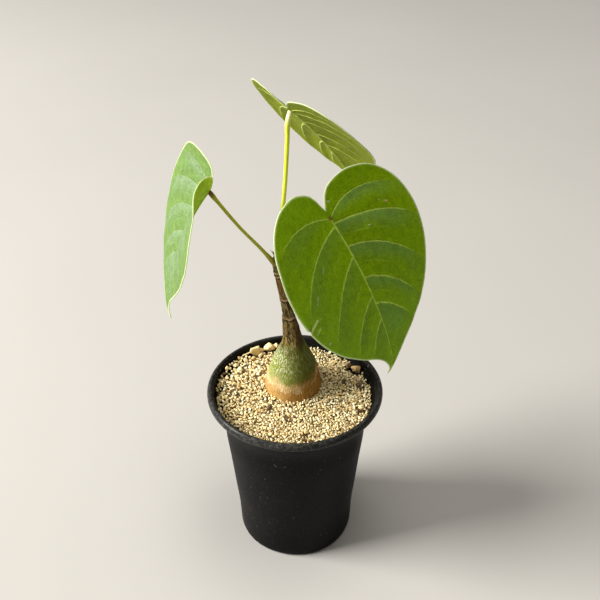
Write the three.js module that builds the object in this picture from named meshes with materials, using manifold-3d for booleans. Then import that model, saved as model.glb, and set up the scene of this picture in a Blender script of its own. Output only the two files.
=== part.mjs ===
// Potted shaving brush tree: a young plant with a swollen base and three heart-shaped leaves,
// in a black plastic pot dressed with pale grit. Millimetres, +Z up, the viewer on the -Y side.
// The origin is the middle of the pot's foot. Every piece keeps a small gap to its neighbours.

import * as THREE from 'three';
import { mergeVertices } from 'three/addons/utils/BufferGeometryUtils.js';
import Module from 'manifold-3d';

const wasm = await Module();
wasm.setup();

const GAP = 0.3;
const DEGREE = Math.PI / 180;

// The pot: [radius, height] up its outside, from the middle of the foot to under the lip
const POT = {
  sides: 40,
  wall: 1.2,
  floorTop: 2.4,
  outside: [
    [0, 0], [11, 0], [12, 1], [23.6, 1], [24.6, 0], [28.8, 0], [30.2, 0.8], [30.7, 2.4],
    [31.4, 18], [32.7, 31], [34.8, 53], [36.2, 66], [36.9, 77], [38.6, 83], [41, 87.2], [42.3, 89.8],
  ],
  lip: { radius: 43.3, height: 92.4, halfWidth: 1.7, halfHeight: 2.3, from: -65, to: 180, steps: 8 },
  drains: { count: 8, radius: 2.5, circle: 18, sides: 12 },
};

// The fill: a coarse mix under a dressing of grit, mounded at the swollen base and heaped along the wall.
// The heap lies towards an angle in degrees and rises between two distances from the axis.
const MIX = { top: 83 };
const DRESSING = {
  top: 88.4,
  edgeDip: 0.5,
  mound: 2.6,
  segments: 80,
  rings: 13,
  grainSpacing: 3.6,
  grainHeight: 1.5,
  seed: 11,
  heap: { toward: 148, spread: 40, from: 14, to: 34, height: 2.7 },
};
// Larger stones of the dressing: [x, y, height of the middle, half width, half height]
const STONES = [
  [-21.6, 31.6, 93.0, 2.9, 3.7], [-18.6, 33.6, 91.6, 2.1, 2.0], [-18.7, 29.6, 91.2, 2.0, 1.9],
  [-14.4, 35.0, 92.5, 3.2, 3.1], [-10.5, 36.0, 91.7, 2.4, 2.9], [-26.5, 24.8, 91.7, 2.0, 1.9],
  [-31.1, 20.2, 91.4, 1.9, 1.8], [-36.0, 16.5, 91.8, 1.3, 2.2], [-28.9, 16.8, 91.4, 2.3, 2.3],
  [32.2, 19.0, 90.0, 2.9, 2.3], [28.4, 22.6, 89.8, 2.3, 2.2], [34.0, 7.4, 89.2, 1.9, 1.7],
  [33.4, -11.4, 89.2, 2.3, 1.9], [8.6, 34.2, 89.8, 1.9, 2.1], [-12.6, -12.2, 89.7, 1.9, 1.6],
];

// The caudex: its middle line [x, y, height] and its half width [height, radius], root to crown
const CAUDEX = {
  sides: 28,
  middle: [
    [-1, 7, 24], [-1, 7, 86], [-0.7, 7, 108], [-0.9, 7, 119], [-2.45, 7, 131], [-4.2, 7, 140.5],
    [-6.2, 6.8, 152], [-8.2, 6.6, 164], [-8.5, 6.5, 170],
  ],
  radius: [
    [24, 0.8], [32, 1.8], [44, 3.2], [58, 5.4], [68, 8.6], [76, 11.8], [82, 13.8], [89, 14.65],
    [94.5, 14.2], [100.5, 12.7], [105.5, 11.15], [110.5, 9.1], [115, 6.9], [118.5, 5.3], [122.5, 4.3],
    [127, 3.9], [131, 3.4], [135, 2.75], [140, 2.4], [152, 2.35], [163, 2.15], [166.2, 1.9], [167.6, 1.2],
  ],
  ribbedFrom: 112,
  ribs: 7,
  ribDepth: 0.16,
  stepsPerRing: 3.4,
};

// The growing tip: a bud on the crown with thin stipules round it
const TIP = {
  foot: [-8.4, 6.4, 168.4],
  bud: [[0, 0], [0.9, 0], [1.15, 1.4], [0.95, 3.4], [0.5, 5.4], [0, 6.6]],
  stipules: [
    { lean: [-0.77, 0.02], length: 3.4 },
    { lean: [0.24, -0.34], length: 4.0 },
    { lean: [0.18, 0.3], length: 3.4 },
  ],
  stipuleRadius: 0.42,
};

// The leaf stalks: points from inside the stem to near the blade, and radii at stem, middle and blade.
// jointDrop is how far under its blade's upper face a stalk ends.
const STALKS = {
  sides: 10,
  rings: 15,
  jointDrop: 1.65,
  front: {
    path: [
      [-8.1, 5.6, 163.4], [-6.8, 3.0, 167.6], [-2.8, -5.4, 176.6], [3.4, -18.2, 189.4], [10.6, -33.0, 205.6],
    ],
    radii: [1.3, 1.0, 1.2],
  },
  left: {
    path: [
      [-8.3, 6.4, 162.3], [-10.9, 6.1, 166.2], [-15.9, 5.4, 173.1], [-24.7, 4.4, 184.3], [-33.8, 3.2, 197.8],
    ],
    radii: [1.25, 0.85, 1.1],
  },
  back: {
    path: [
      [-8.4, 7.4, 162.9], [-8.3, 9.3, 168.2], [-7.3, 9.6, 178.5], [-4.8, 9.9, 193.2], [-2.6, 11.4, 224],
      [-2.3, 11.0, 232.5],
    ],
    radii: [1.3, 1.0, 1.2],
  },
};

// The blade, in shares of its length: x along the midrib from the joint, y across it.
// Its margin is half an outline. A vein leaves the midrib at a place, bows towards a point
// and runs to a numbered point of the margin.
const BLADE = {
  thickness: 0.8,
  margin: [
    [0, 0], [-0.048, 0], [-0.144, 0.056], [-0.19, 0.16], [-0.195, 0.248], [-0.162, 0.353], [-0.061, 0.442],
    [0.104, 0.494], [0.284, 0.486], [0.467, 0.423], [0.636, 0.322], [0.764, 0.194], [0.847, 0.083],
    [0.907, 0.032], [0.955, 0.008], [1, 0],
  ],
  sinus: { leaves: 0, bow: [-0.024, 0], ends: 1 },
  tip: { leaves: 1, bow: [1, 0], ends: 15 },
  veins: {
    left: [
      { leaves: 0, bow: [-0.155, 0.228], ends: 6.7 },
      { leaves: 0.03, bow: [0.08, 0.36], ends: 7.85 },
      { leaves: 0.165, bow: [0.21, 0.245], ends: 9.1 },
      { leaves: 0.35, bow: [0.4, 0.18], ends: 10.1 },
      { leaves: 0.505, bow: [0.553, 0.13], ends: 10.8 },
    ],
    right: [
      { leaves: 0, bow: [-0.11, 0.27], ends: 6.65 },
      { leaves: 0.045, bow: [0.1, 0.36], ends: 8.75 },
      { leaves: 0.225, bow: [0.32, 0.235], ends: 9.95 },
      { leaves: 0.46, bow: [0.55, 0.18], ends: 10.97 },
      { leaves: 0.6, bow: [0.67, 0.08], ends: 11.6 },
    ],
  },
  ribHeight: 0.45,
  midribHeight: 0.65,
  groove: 0.2,
  puff: 0.45,
  rows: [0.04, 0.22, 0.42, 0.62, 0.82, 1],
  // Mesh lines: in the basal lobe, beside a vein, between two veins and towards the tip
  lobeLines: [0, 0.13, 0.26, 0.39, 0.52, 0.65, 0.8],
  veinFlank: 0.07,
  betweenLines: [0.35, 0.65],
  tipLines: [0.22, 0.38, 0.54, 0.68, 0.8, 0.91],
  midribPoints: 14,
};

// The leaves. heading, droop and roll turn the blade, in degrees; bend, side and twist curve its
// midrib over one length; fold lifts each half off the midrib, foldChange grows it towards the tip,
// and curl bends the half across. halfWidth scales the half.
const LEAVES = {
  front: {
    joint: [15, -37.5, 211.5], length: 80.5,
    heading: -33.5, droop: 48.5, roll: 5.5,
    bend: 40, bendBack: -103, side: 11, twist: -1, tipCurl: 29, tipSide: -29,
    left: { halfWidth: 0.95, fold: 17, foldChange: -2, curl: 0 },
    right: { halfWidth: 0.95, fold: 2, foldChange: -35, curl: 0 },
    mirrored: false,
  },
  left: {
    joint: [-38, 2.5, 204], length: 68.5,
    heading: 176, droop: 54, roll: -9,
    bend: 29, bendBack: -139, side: 24, twist: 0, tipCurl: 23, tipSide: 29,
    left: { halfWidth: 0.98, fold: 29, foldChange: -35, curl: -72 },
    right: { halfWidth: 0.96, fold: 34, foldChange: -34, curl: -36 },
    mirrored: true,
  },
  back: {
    joint: [-1, 13, 237.5], length: 69,
    heading: 50.5, droop: 40, roll: -10.5,
    bend: 16, bendBack: -6, side: -2, twist: -5, tipCurl: 29, tipSide: 27,
    left: { halfWidth: 0.76, fold: 29, foldChange: -14, curl: -28 },
    right: { halfWidth: 1.06, fold: -4, foldChange: -5, curl: -45 },
    mirrored: true,
  },
};

const LOOKS = {
  pot: new THREE.MeshStandardMaterial({ color: 0x1b1c1d, roughness: 0.55, metalness: 0 }),
  mix: new THREE.MeshStandardMaterial({ color: 0x6f5a41, roughness: 1, metalness: 0 }),
  grit: new THREE.MeshStandardMaterial({ color: 0xd9c69a, roughness: 0.95, metalness: 0 }),
  caudex: new THREE.MeshStandardMaterial({ color: 0x8a7440, roughness: 0.85, metalness: 0 }),
  tip: new THREE.MeshStandardMaterial({ color: 0xa9a85c, roughness: 0.7, metalness: 0 }),
  stalk: new THREE.MeshStandardMaterial({ color: 0x9fb02c, roughness: 0.5, metalness: 0 }),
  leaf: new THREE.MeshStandardMaterial({ color: 0x4d7f1c, roughness: 0.45, metalness: 0 }),
};

// Seeded random numbers from 0 to 1
function seededRandom(seed) {
  let state = seed >>> 0;
  return () => {
    state = (state + 0x6d2b79f5) >>> 0;
    let mixed = Math.imul(state ^ (state >>> 15), state | 1);
    mixed ^= mixed + Math.imul(mixed ^ (mixed >>> 7), mixed | 61);
    return ((mixed ^ (mixed >>> 14)) >>> 0) / 4294967296;
  };
}

const lerp = THREE.MathUtils.lerp;
const clamp = THREE.MathUtils.clamp;
const vector = (place) => new THREE.Vector3(...place);

// A value read between the knots of a list of [key, value], straight or smooth
function readBetween(knots, key, smooth = false) {
  const last = knots.length - 1;
  if (key <= knots[0][0]) return knots[0][1];
  if (key >= knots[last][0]) return knots[last][1];
  const after = knots.findIndex((knot) => knot[0] > key);
  const [from, to] = [knots[after - 1], knots[after]];
  const share = (key - from[0]) / (to[0] - from[0]);
  if (!smooth) return lerp(from[1], to[1], share);
  const slope = (index) => {
    const low = knots[Math.max(index - 1, 0)];
    const high = knots[Math.min(index + 1, last)];
    return (high[1] - low[1]) / (high[0] - low[0]);
  };
  const step = to[0] - from[0];
  const squared = share * share;
  const cubed = squared * share;
  return (2 * cubed - 3 * squared + 1) * from[1] + (cubed - 2 * squared + share) * step * slope(after - 1)
    + (3 * squared - 2 * cubed) * to[1] + (cubed - squared) * step * slope(after);
}

// A closed geometry from triangles of points; points at one place become one vertex
function closedGeometry(triangles) {
  const positions = [];
  const indices = [];
  const places = new Map();
  const indexOf = (point) => {
    const key = [point.x, point.y, point.z].map((value) => Math.round(value * 1e4)).join(' ');
    if (!places.has(key)) {
      places.set(key, positions.length / 3);
      positions.push(point.x, point.y, point.z);
    }
    return places.get(key);
  };
  for (const triangle of triangles) {
    const corners = triangle.map(indexOf);
    if (new Set(corners).size === 3) indices.push(...corners);
  }
  const geometry = new THREE.BufferGeometry();
  geometry.setAttribute('position', new THREE.Float32BufferAttribute(positions, 3));
  geometry.setIndex(indices);
  return geometry;
}

// The triangles of a skin over rings of points, each ring counter-clockwise seen from the last one,
// closed by a fan at each end
function skinTriangles(rings, firstPole, lastPole) {
  const triangles = [];
  const count = rings[0].length;
  for (let side = 0; side < count; side += 1) {
    const next = (side + 1) % count;
    triangles.push([firstPole, rings[0][next], rings[0][side]]);
    triangles.push([lastPole, rings[rings.length - 1][side], rings[rings.length - 1][next]]);
    for (let ring = 0; ring < rings.length - 1; ring += 1) {
      const [low, high] = [rings[ring], rings[ring + 1]];
      triangles.push([low[side], low[next], high[next]]);
      triangles.push([low[side], high[next], high[side]]);
    }
  }
  return triangles;
}

function solidOf(geometry) {
  const bare = geometry.clone();
  bare.deleteAttribute('normal');
  bare.deleteAttribute('uv');
  const merged = mergeVertices(bare, 1e-4);
  return new wasm.Manifold(new wasm.Mesh({
    numProp: 3,
    vertProperties: new Float32Array(merged.attributes.position.array),
    triVerts: new Uint32Array(merged.index.array),
  }));
}

function geometryOf(solid) {
  const mesh = solid.getMesh();
  const geometry = new THREE.BufferGeometry();
  geometry.setAttribute('position', new THREE.BufferAttribute(new Float32Array(mesh.vertProperties), 3));
  geometry.setIndex(new THREE.BufferAttribute(new Uint32Array(mesh.triVerts), 1));
  return geometry;
}

// A lathe round the upright axis from [radius, height] points, closed by its own profile
function turned(profile, sides) {
  const points = profile.map(([radius, height]) => new THREE.Vector2(radius, height));
  return new THREE.LatheGeometry(points, sides).rotateX(Math.PI / 2);
}

function named(name, geometry, material) {
  const mesh = new THREE.Mesh(geometry, material);
  mesh.name = name;
  return mesh;
}

// The inner radius of the pot's wall at a height
function insideRadius(height) {
  const wall = POT.outside.filter(([, z]) => z > POT.floorTop - 0.1).map(([radius, z]) => [z, radius]);
  return readBetween(wall, height) - POT.wall;
}

function makePot() {
  const { lip, drains } = POT;
  const bead = [];
  for (let step = 0; step <= lip.steps; step += 1) {
    const angle = lerp(lip.from, lip.to, step / lip.steps) * DEGREE;
    bead.push([lip.radius + lip.halfWidth * Math.cos(angle), lip.height + lip.halfHeight * Math.sin(angle)]);
  }
  const inside = POT.outside
    .filter(([, z]) => z > POT.floorTop + 0.1)
    .map(([, z]) => [insideRadius(z), z])
    .reverse();
  const floor = [[insideRadius(POT.floorTop) - 0.6, POT.floorTop], [0, POT.floorTop]];
  let solid = solidOf(turned([...POT.outside, ...bead, ...inside, ...floor], POT.sides));
  for (let index = 0; index < drains.count; index += 1) {
    const angle = ((index + 0.5) / drains.count) * 2 * Math.PI;
    const drill = new THREE.CylinderGeometry(drains.radius, drains.radius, 4 * POT.floorTop, drains.sides)
      .rotateX(Math.PI / 2)
      .translate(drains.circle * Math.cos(angle), drains.circle * Math.sin(angle), 0);
    solid = solid.subtract(solidOf(drill));
  }
  return named('pot', geometryOf(solid), LOOKS.pot);
}

function caudexMiddle(height) {
  const along = (axis) => CAUDEX.middle.map((place) => [place[2], place[axis]]);
  return [readBetween(along(0), height, true), readBetween(along(1), height, true)];
}

// The caudex, or with grow a plain larger copy of it to cut clearance in its neighbours
function caudexGeometry(grow = 0, sides = CAUDEX.sides) {
  const [lowest, highest] = [CAUDEX.radius[0][0], CAUDEX.radius.at(-1)[0]];
  const heights = CAUDEX.radius.map(([height]) => height);
  for (let height = 143; height < 162; height += CAUDEX.stepsPerRing) heights.push(height);
  heights.sort((a, b) => a - b);
  const rings = heights.map((height) => {
    const [x, y] = caudexMiddle(height);
    const base = readBetween(CAUDEX.radius, height, true) + grow;
    const ribbing = grow ? 0 : THREE.MathUtils.smoothstep(height, CAUDEX.ribbedFrom, CAUDEX.ribbedFrom + 8);
    return Array.from({ length: sides }, (_, side) => {
      const angle = (side / sides) * 2 * Math.PI;
      const wave = Math.sin(CAUDEX.ribs * angle + 0.09 * height) + 0.5 * Math.sin(3 * angle - 0.16 * height);
      const radius = base * (1 + CAUDEX.ribDepth * 0.4 * ribbing * wave);
      return new THREE.Vector3(x + radius * Math.cos(angle), y + radius * Math.sin(angle), height);
    });
  });
  const pole = (height) => new THREE.Vector3(...caudexMiddle(height), height);
  return closedGeometry(skinTriangles(rings, pole(lowest - 0.8 - grow), pole(highest + 0.5 + grow)));
}

function makeMix() {
  const between = POT.outside.map(([, z]) => z).filter((z) => z > 10 && z < MIX.top);
  const heights = [POT.floorTop + GAP, ...between, MIX.top];
  const wall = heights.map((z) => [insideRadius(z) - GAP - (z < 10 ? 0.6 : 0), z]);
  const fill = turned([[0, heights[0]], ...wall, [0, MIX.top]], POT.sides);
  const hole = caudexGeometry(GAP + 0.05, 16);
  return named('potting_mix', geometryOf(solidOf(fill).subtract(solidOf(hole))), LOOKS.mix);
}

// Scattered middles of grains, one in each jittered cell of a square grid
function grainMiddles() {
  const random = seededRandom(DRESSING.seed);
  const reach = Math.ceil(insideRadius(DRESSING.top) / DRESSING.grainSpacing);
  const grains = [];
  for (let column = -reach; column <= reach; column += 1) {
    for (let row = -reach; row <= reach; row += 1) {
      grains.push({
        x: (column + 0.8 * (random() - 0.5)) * DRESSING.grainSpacing,
        y: (row + 0.8 * (random() - 0.5)) * DRESSING.grainSpacing,
        height: 0.5 + 0.5 * random(),
      });
    }
  }
  return grains;
}

// How far the nearest grain raises the dressing at a place
function grainRelief(grains, x, y) {
  let relief = 0;
  for (const grain of grains) {
    const distance = Math.hypot(x - grain.x, y - grain.y) / (0.62 * DRESSING.grainSpacing);
    if (distance < 1) relief = Math.max(relief, (1 - distance * distance) * grain.height);
  }
  return relief * DRESSING.grainHeight;
}

// How much the heap along the wall adds at a place
function heapAt(x, y) {
  const { toward, spread, from, to, height } = DRESSING.heap;
  const turn = THREE.MathUtils.euclideanModulo(Math.atan2(y, x) / DEGREE - toward + 180, 360) - 180;
  return height * Math.exp(-((turn / spread) ** 2)) * THREE.MathUtils.smoothstep(Math.hypot(x, y), from, to);
}

function makeDressing() {
  const grains = grainMiddles();
  const bottom = MIX.top + GAP;
  const [middleX, middleY] = caudexMiddle(DRESSING.top);
  const holeRadius = Math.max(...CAUDEX.radius.map(([, radius]) => radius)) + GAP;
  const flatToCorner = Math.cos(Math.PI / POT.sides);
  const edgeHeight = DRESSING.top - DRESSING.edgeDip;
  const radiusAt = (height) => insideRadius(height) * flatToCorner - GAP;
  const ringAt = (share, outerHeightAt, heightOf) => Array.from({ length: DRESSING.segments }, (_, segment) => {
    const angle = (segment / DRESSING.segments) * 2 * Math.PI;
    const outerRadius = radiusAt(outerHeightAt(angle));
    const x = lerp(middleX + holeRadius * Math.cos(angle), outerRadius * Math.cos(angle), share);
    const y = lerp(middleY + holeRadius * Math.sin(angle), outerRadius * Math.sin(angle), share);
    return new THREE.Vector3(x, y, heightOf(x, y, share));
  });
  const flat = () => bottom;
  const { to } = DRESSING.heap;
  const wallHeight = (angle) => edgeHeight + heapAt(to * Math.cos(angle), to * Math.sin(angle));
  const rough = (x, y, share) => edgeHeight + DRESSING.mound * (1 - share) ** 2 + heapAt(x, y)
    + grainRelief(grains, x, y) * THREE.MathUtils.smoothstep(1 - share, -0.12, 0.08);
  const rings = [ringAt(0, flat, flat), ringAt(1, flat, flat)];
  for (let ring = DRESSING.rings; ring >= 0; ring -= 1) {
    rings.push(ringAt(ring / DRESSING.rings, wallHeight, rough));
  }
  const triangles = [];
  rings.forEach((low, index) => {
    const high = rings[(index + 1) % rings.length];
    low.forEach((corner, side) => {
      const next = (side + 1) % low.length;
      triangles.push([corner, low[next], high[next]], [corner, high[next], high[side]]);
    });
  });
  let solid = solidOf(closedGeometry(triangles));
  const random = seededRandom(DRESSING.seed + 1);
  for (const [x, y, z, halfWidth, halfHeight] of STONES) {
    const stone = roughStone(halfWidth, random).scale(1, 1, halfHeight / halfWidth).translate(x, y, z);
    solid = solid.add(solidOf(stone));
  }
  return named('grit', geometryOf(solid), LOOKS.grit);
}

// An irregular stone: a ball of flat faces with each corner moved inwards at random
function roughStone(radius, random) {
  const ball = new THREE.IcosahedronGeometry(radius, radius > 2.3 ? 1 : 0);
  ball.deleteAttribute('normal');
  ball.deleteAttribute('uv');
  const stone = mergeVertices(ball, 1e-3);
  const corners = stone.attributes.position;
  for (let corner = 0; corner < corners.count; corner += 1) {
    const stretch = 1 - 0.3 * random();
    corners.setXYZ(corner, corners.getX(corner) * stretch, corners.getY(corner) * stretch,
      corners.getZ(corner) * stretch);
  }
  return stone;
}

function makeCaudex() {
  return named('caudex', caudexGeometry(), LOOKS.caudex);
}

function makeGrowingTip() {
  let solid = solidOf(turned(TIP.bud, 8));
  for (const { lean, length } of TIP.stipules) {
    const stipule = new THREE.ConeGeometry(TIP.stipuleRadius, length, 5).rotateX(Math.PI / 2);
    stipule.translate(0, 0, length / 2);
    const tilt = new THREE.Quaternion().setFromUnitVectors(
      new THREE.Vector3(0, 0, 1),
      new THREE.Vector3(lean[0], lean[1], 1).normalize(),
    );
    stipule.applyQuaternion(tilt).translate(lean[0] * 1.2, lean[1] * 1.2, 0.3);
    solid = solid.add(solidOf(stipule));
  }
  return named('growing_tip', geometryOf(solid).translate(...TIP.foot), LOOKS.tip);
}

// The turn and place that carry a leaf from its own frame to the part's
function leafMatrix(leaf) {
  const turn = new THREE.Euler(leaf.roll * DEGREE, leaf.droop * DEGREE, leaf.heading * DEGREE, 'ZYX');
  return new THREE.Matrix4().makeRotationFromEuler(turn).setPosition(...leaf.joint);
}

function makeStalk(name, stalk, leaf, stemCutter) {
  const frame = leafMatrix(leaf);
  const end = new THREE.Vector3(0, 0, -STALKS.jointDrop).applyMatrix4(frame);
  const facing = new THREE.Vector3(0, 0, 1).transformDirection(frame);
  const path = new THREE.CatmullRomCurve3([...stalk.path.map(vector), end]);
  const rings = [];
  let across = new THREE.Vector3(0, 1, 0);
  for (let ring = 0; ring <= STALKS.rings; ring += 1) {
    const share = ring / STALKS.rings;
    const ahead = ring === STALKS.rings ? facing : path.getTangentAt(share);
    across = across.clone().addScaledVector(ahead, -across.dot(ahead)).normalize();
    const beside = new THREE.Vector3().crossVectors(ahead, across);
    const [atStem, halfWay, atBlade] = stalk.radii;
    const knots = [[0, atStem], [0.25, halfWay], [0.86, halfWay], [0.97, atBlade], [1, atBlade * 0.9]];
    const radius = readBetween(knots, share);
    const middle = path.getPointAt(share);
    rings.push(Array.from({ length: STALKS.sides }, (_, side) => {
      const angle = (side / STALKS.sides) * 2 * Math.PI;
      return middle.clone()
        .addScaledVector(across, radius * Math.cos(angle))
        .addScaledVector(beside, radius * Math.sin(angle));
    }));
  }
  const geometry = closedGeometry(skinTriangles(rings, path.getPointAt(0), end));
  return named(name, geometryOf(solidOf(geometry).subtract(stemCutter)), LOOKS.stalk);
}

// The midrib of a leaf in shares of its length: its place and its three directions at u
function midribAt(leaf, u) {
  const headingAt = (s) => {
    const down = (s >= 0 ? leaf.bend : leaf.bendBack) * s + leaf.tipCurl * Math.max((s - 0.8) / 0.2, 0) ** 2;
    const aside = leaf.side * s + leaf.tipSide * Math.max((s - 0.75) / 0.25, 0) ** 2;
    const [b, w] = [down * DEGREE, aside * DEGREE];
    return { b, w, along: new THREE.Vector3(Math.cos(b) * Math.cos(w), Math.cos(b) * Math.sin(w), -Math.sin(b)) };
  };
  const steps = Math.max(1, Math.ceil(Math.abs(u) / 0.02));
  const place = new THREE.Vector3();
  for (let step = 0; step < steps; step += 1) {
    place.addScaledVector(headingAt((u * (step + 0.5)) / steps).along, u / steps);
  }
  const { w, along } = headingAt(u);
  const flatLeft = new THREE.Vector3(-Math.sin(w), Math.cos(w), 0);
  const flatUp = new THREE.Vector3().crossVectors(along, flatLeft);
  const twist = leaf.twist * u * DEGREE;
  const left = flatLeft.clone().multiplyScalar(Math.cos(twist)).addScaledVector(flatUp, Math.sin(twist));
  const up = flatUp.clone().multiplyScalar(Math.cos(twist)).addScaledVector(flatLeft, -Math.sin(twist));
  return { place, left, up };
}

// A point of the bent upper face, in the leaf's own frame and in millimetres
function bladePoint(leaf, u, v, onLeft = v >= 0) {
  const half = onLeft ? leaf.left : leaf.right;
  const { place, left, up } = midribAt(leaf, u);
  const reach = Math.abs(v) * half.halfWidth;
  const fold = (half.fold + half.foldChange * clamp(u, -0.3, 1)) * DEGREE;
  const curl = half.curl * DEGREE || 1e-6;
  const across = (Math.sin(fold + curl * reach) - Math.sin(fold)) / curl;
  const lift = (Math.cos(fold) - Math.cos(fold + curl * reach)) / curl;
  place.addScaledVector(left, onLeft ? across : -across).addScaledVector(up, lift);
  return place.multiplyScalar(leaf.length);
}

// The direction that a half of the blade faces at a point; on the midrib, the mean of both halves
function bladeFacing(leaf, u, v, onLeft) {
  const step = 1e-3;
  const facingOf = (leftHalf) => {
    const outward = leftHalf ? step : -step;
    const from = bladePoint(leaf, u, v, leftHalf);
    const along = bladePoint(leaf, u + step, v, leftHalf).sub(from);
    const across = bladePoint(leaf, u, v + outward, leftHalf).sub(from).multiplyScalar(leftHalf ? 1 : -1);
    return along.cross(across).normalize();
  };
  if (Math.abs(v) > 1e-9) return facingOf(onLeft);
  return facingOf(true).add(facingOf(false)).normalize();
}

// Where the line s of a half starts, bows and ends. Line 0 lies in the sinus, a whole number is a vein
// and the last line is the tip.
function lineAt(veins, s) {
  const stations = [BLADE.sinus, ...veins, BLADE.tip];
  const index = Math.min(Math.floor(s), stations.length - 2);
  const [from, to] = [stations[index], stations[index + 1]];
  const share = s - index;
  return {
    leaves: lerp(from.leaves, to.leaves, share),
    bow: [lerp(from.bow[0], to.bow[0], share), lerp(from.bow[1], to.bow[1], share)],
    ends: lerp(from.ends, to.ends, share),
  };
}

const MARGIN = new THREE.SplineCurve(BLADE.margin.map(([x, y]) => new THREE.Vector2(x, y)));

// The point a share t along line s, as [u, v] with v outwards from the midrib
function linePoint(veins, s, t) {
  const { leaves, bow, ends } = lineAt(veins, s);
  const end = MARGIN.getPoint(ends / (BLADE.margin.length - 1));
  const [a, b, c] = [(1 - t) ** 2, 2 * t * (1 - t), t * t];
  return [a * leaves + b * bow[0] + c * end.x, Math.max(b * bow[1] + c * end.y, 0)];
}

function meshLines(veinCount) {
  const lines = [...BLADE.lobeLines];
  for (let vein = 1; vein <= veinCount; vein += 1) {
    lines.push(vein - BLADE.veinFlank, vein, vein + BLADE.veinFlank);
    const after = vein === veinCount ? BLADE.tipLines : BLADE.betweenLines;
    lines.push(...after.map((share) => vein + share));
  }
  lines.push(veinCount + 1);
  return lines;
}

// The heights of the upper and lower face over the bare blade at a share t along line s
function reliefAt(s, t, veinCount) {
  const onVein = Number.isInteger(s) && s >= 1 && s <= veinCount;
  const between = s > 1 ? Math.sin(Math.PI * (s % 1)) ** 2 : 0;
  const swell = BLADE.puff * between * Math.sin(Math.PI * t) * (s > veinCount ? 0.3 : 1);
  const fade = onVein ? 1 - 0.8 * t : 0;
  return {
    upper: swell - BLADE.groove * fade,
    lower: swell - BLADE.thickness - BLADE.ribHeight * fade,
  };
}

function bladeGeometry(leaf) {
  const triangles = [];
  const pointPair = (u, v, onLeft, { upper, lower }) => {
    const base = bladePoint(leaf, u, v, onLeft);
    const facing = bladeFacing(leaf, u, v, onLeft);
    return { upper: base.clone().addScaledVector(facing, upper), lower: base.addScaledVector(facing, lower) };
  };
  const midrib = Array.from({ length: BLADE.midribPoints }, (_, index) => {
    const u = index / (BLADE.midribPoints - 1);
    const height = BLADE.midribHeight * (1 - 0.75 * u) * Math.min(1, 8 * (1 - u));
    return { key: u, ...pointPair(u, 0, true, { upper: 0, lower: -BLADE.thickness - height }) };
  });
  for (const onLeft of [true, false]) {
    const veins = BLADE.veins[onLeft !== leaf.mirrored ? 'left' : 'right'];
    const outward = onLeft ? 1 : -1;
    const addFace = (a, b, c) => {
      const corners = onLeft ? [a, b, c] : [a, c, b];
      triangles.push(corners.map((corner) => corner.upper), corners.map((corner) => corner.lower).reverse());
    };
    const columns = meshLines(veins.length).map((s) => ({
      key: lineAt(veins, s).leaves,
      points: BLADE.rows.map((t) => {
        const [u, v] = linePoint(veins, s, t);
        return pointPair(u, v * outward, onLeft, reliefAt(s, t, veins.length));
      }),
    }));
    for (let column = 0; column < columns.length - 1; column += 1) {
      const [near, far] = [columns[column].points, columns[column + 1].points];
      for (let row = 0; row < near.length - 1; row += 1) {
        addFace(near[row], far[row], far[row + 1]);
        addFace(near[row], far[row + 1], near[row + 1]);
      }
      const [edge, nextEdge] = [near.at(-1), far.at(-1)];
      const rim = [[edge.upper, nextEdge.upper, nextEdge.lower], [edge.upper, nextEdge.lower, edge.lower]];
      triangles.push(...(onLeft ? rim : rim.map((corners) => corners.reverse())));
    }
    joinToMidrib(midrib, columns, addFace);
  }
  return closedGeometry(triangles);
}

// Fills the strip between the midrib's points and the first row of a half, in order of their keys
function joinToMidrib(midrib, columns, addFace) {
  let [rib, column] = [0, 0];
  while (rib < midrib.length - 1 || column < columns.length - 1) {
    const ribNext = midrib[rib + 1]?.key ?? Infinity;
    const columnNext = columns[column + 1]?.key ?? Infinity;
    if (columnNext <= ribNext) {
      addFace(midrib[rib], columns[column + 1].points[0], columns[column].points[0]);
      column += 1;
    } else {
      addFace(midrib[rib], midrib[rib + 1], columns[column].points[0]);
      rib += 1;
    }
  }
}

function makeLeaf(name, leaf) {
  const mesh = named(name, bladeGeometry(leaf), LOOKS.leaf);
  mesh.position.set(...leaf.joint);
  mesh.rotation.set(leaf.roll * DEGREE, leaf.droop * DEGREE, leaf.heading * DEGREE, 'ZYX');
  return mesh;
}

const plant = new THREE.Group();
const stemCutter = solidOf(caudexGeometry(GAP, 20));
plant.add(makePot(), makeMix(), makeDressing(), makeCaudex(), makeGrowingTip());
for (const side of ['front', 'left', 'back']) {
  plant.add(makeStalk(`leafstalk_${side}`, STALKS[side], LEAVES[side], stemCutter));
  plant.add(makeLeaf(`leaf_${side}`, LEAVES[side]));
}

export default plant;
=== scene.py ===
"""Potted shaving brush tree: three heart-shaped leaves, a swollen base, pale grit and a black plastic pot.

Shapes are worked out in millimetres, in the frame of the CAD part, and become metres as each piece is
finished. Finishes are worked out in metres from the place on the object, and a blade's in millimetres from
the charts that it carries.
"""

from __future__ import annotations

import logging
import math
from dataclasses import dataclass
from enum import Enum
from typing import Callable, Iterable, Sequence, Union

import bmesh
import bpy
import numpy as np
from mathutils import Euler, Matrix, Vector

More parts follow.
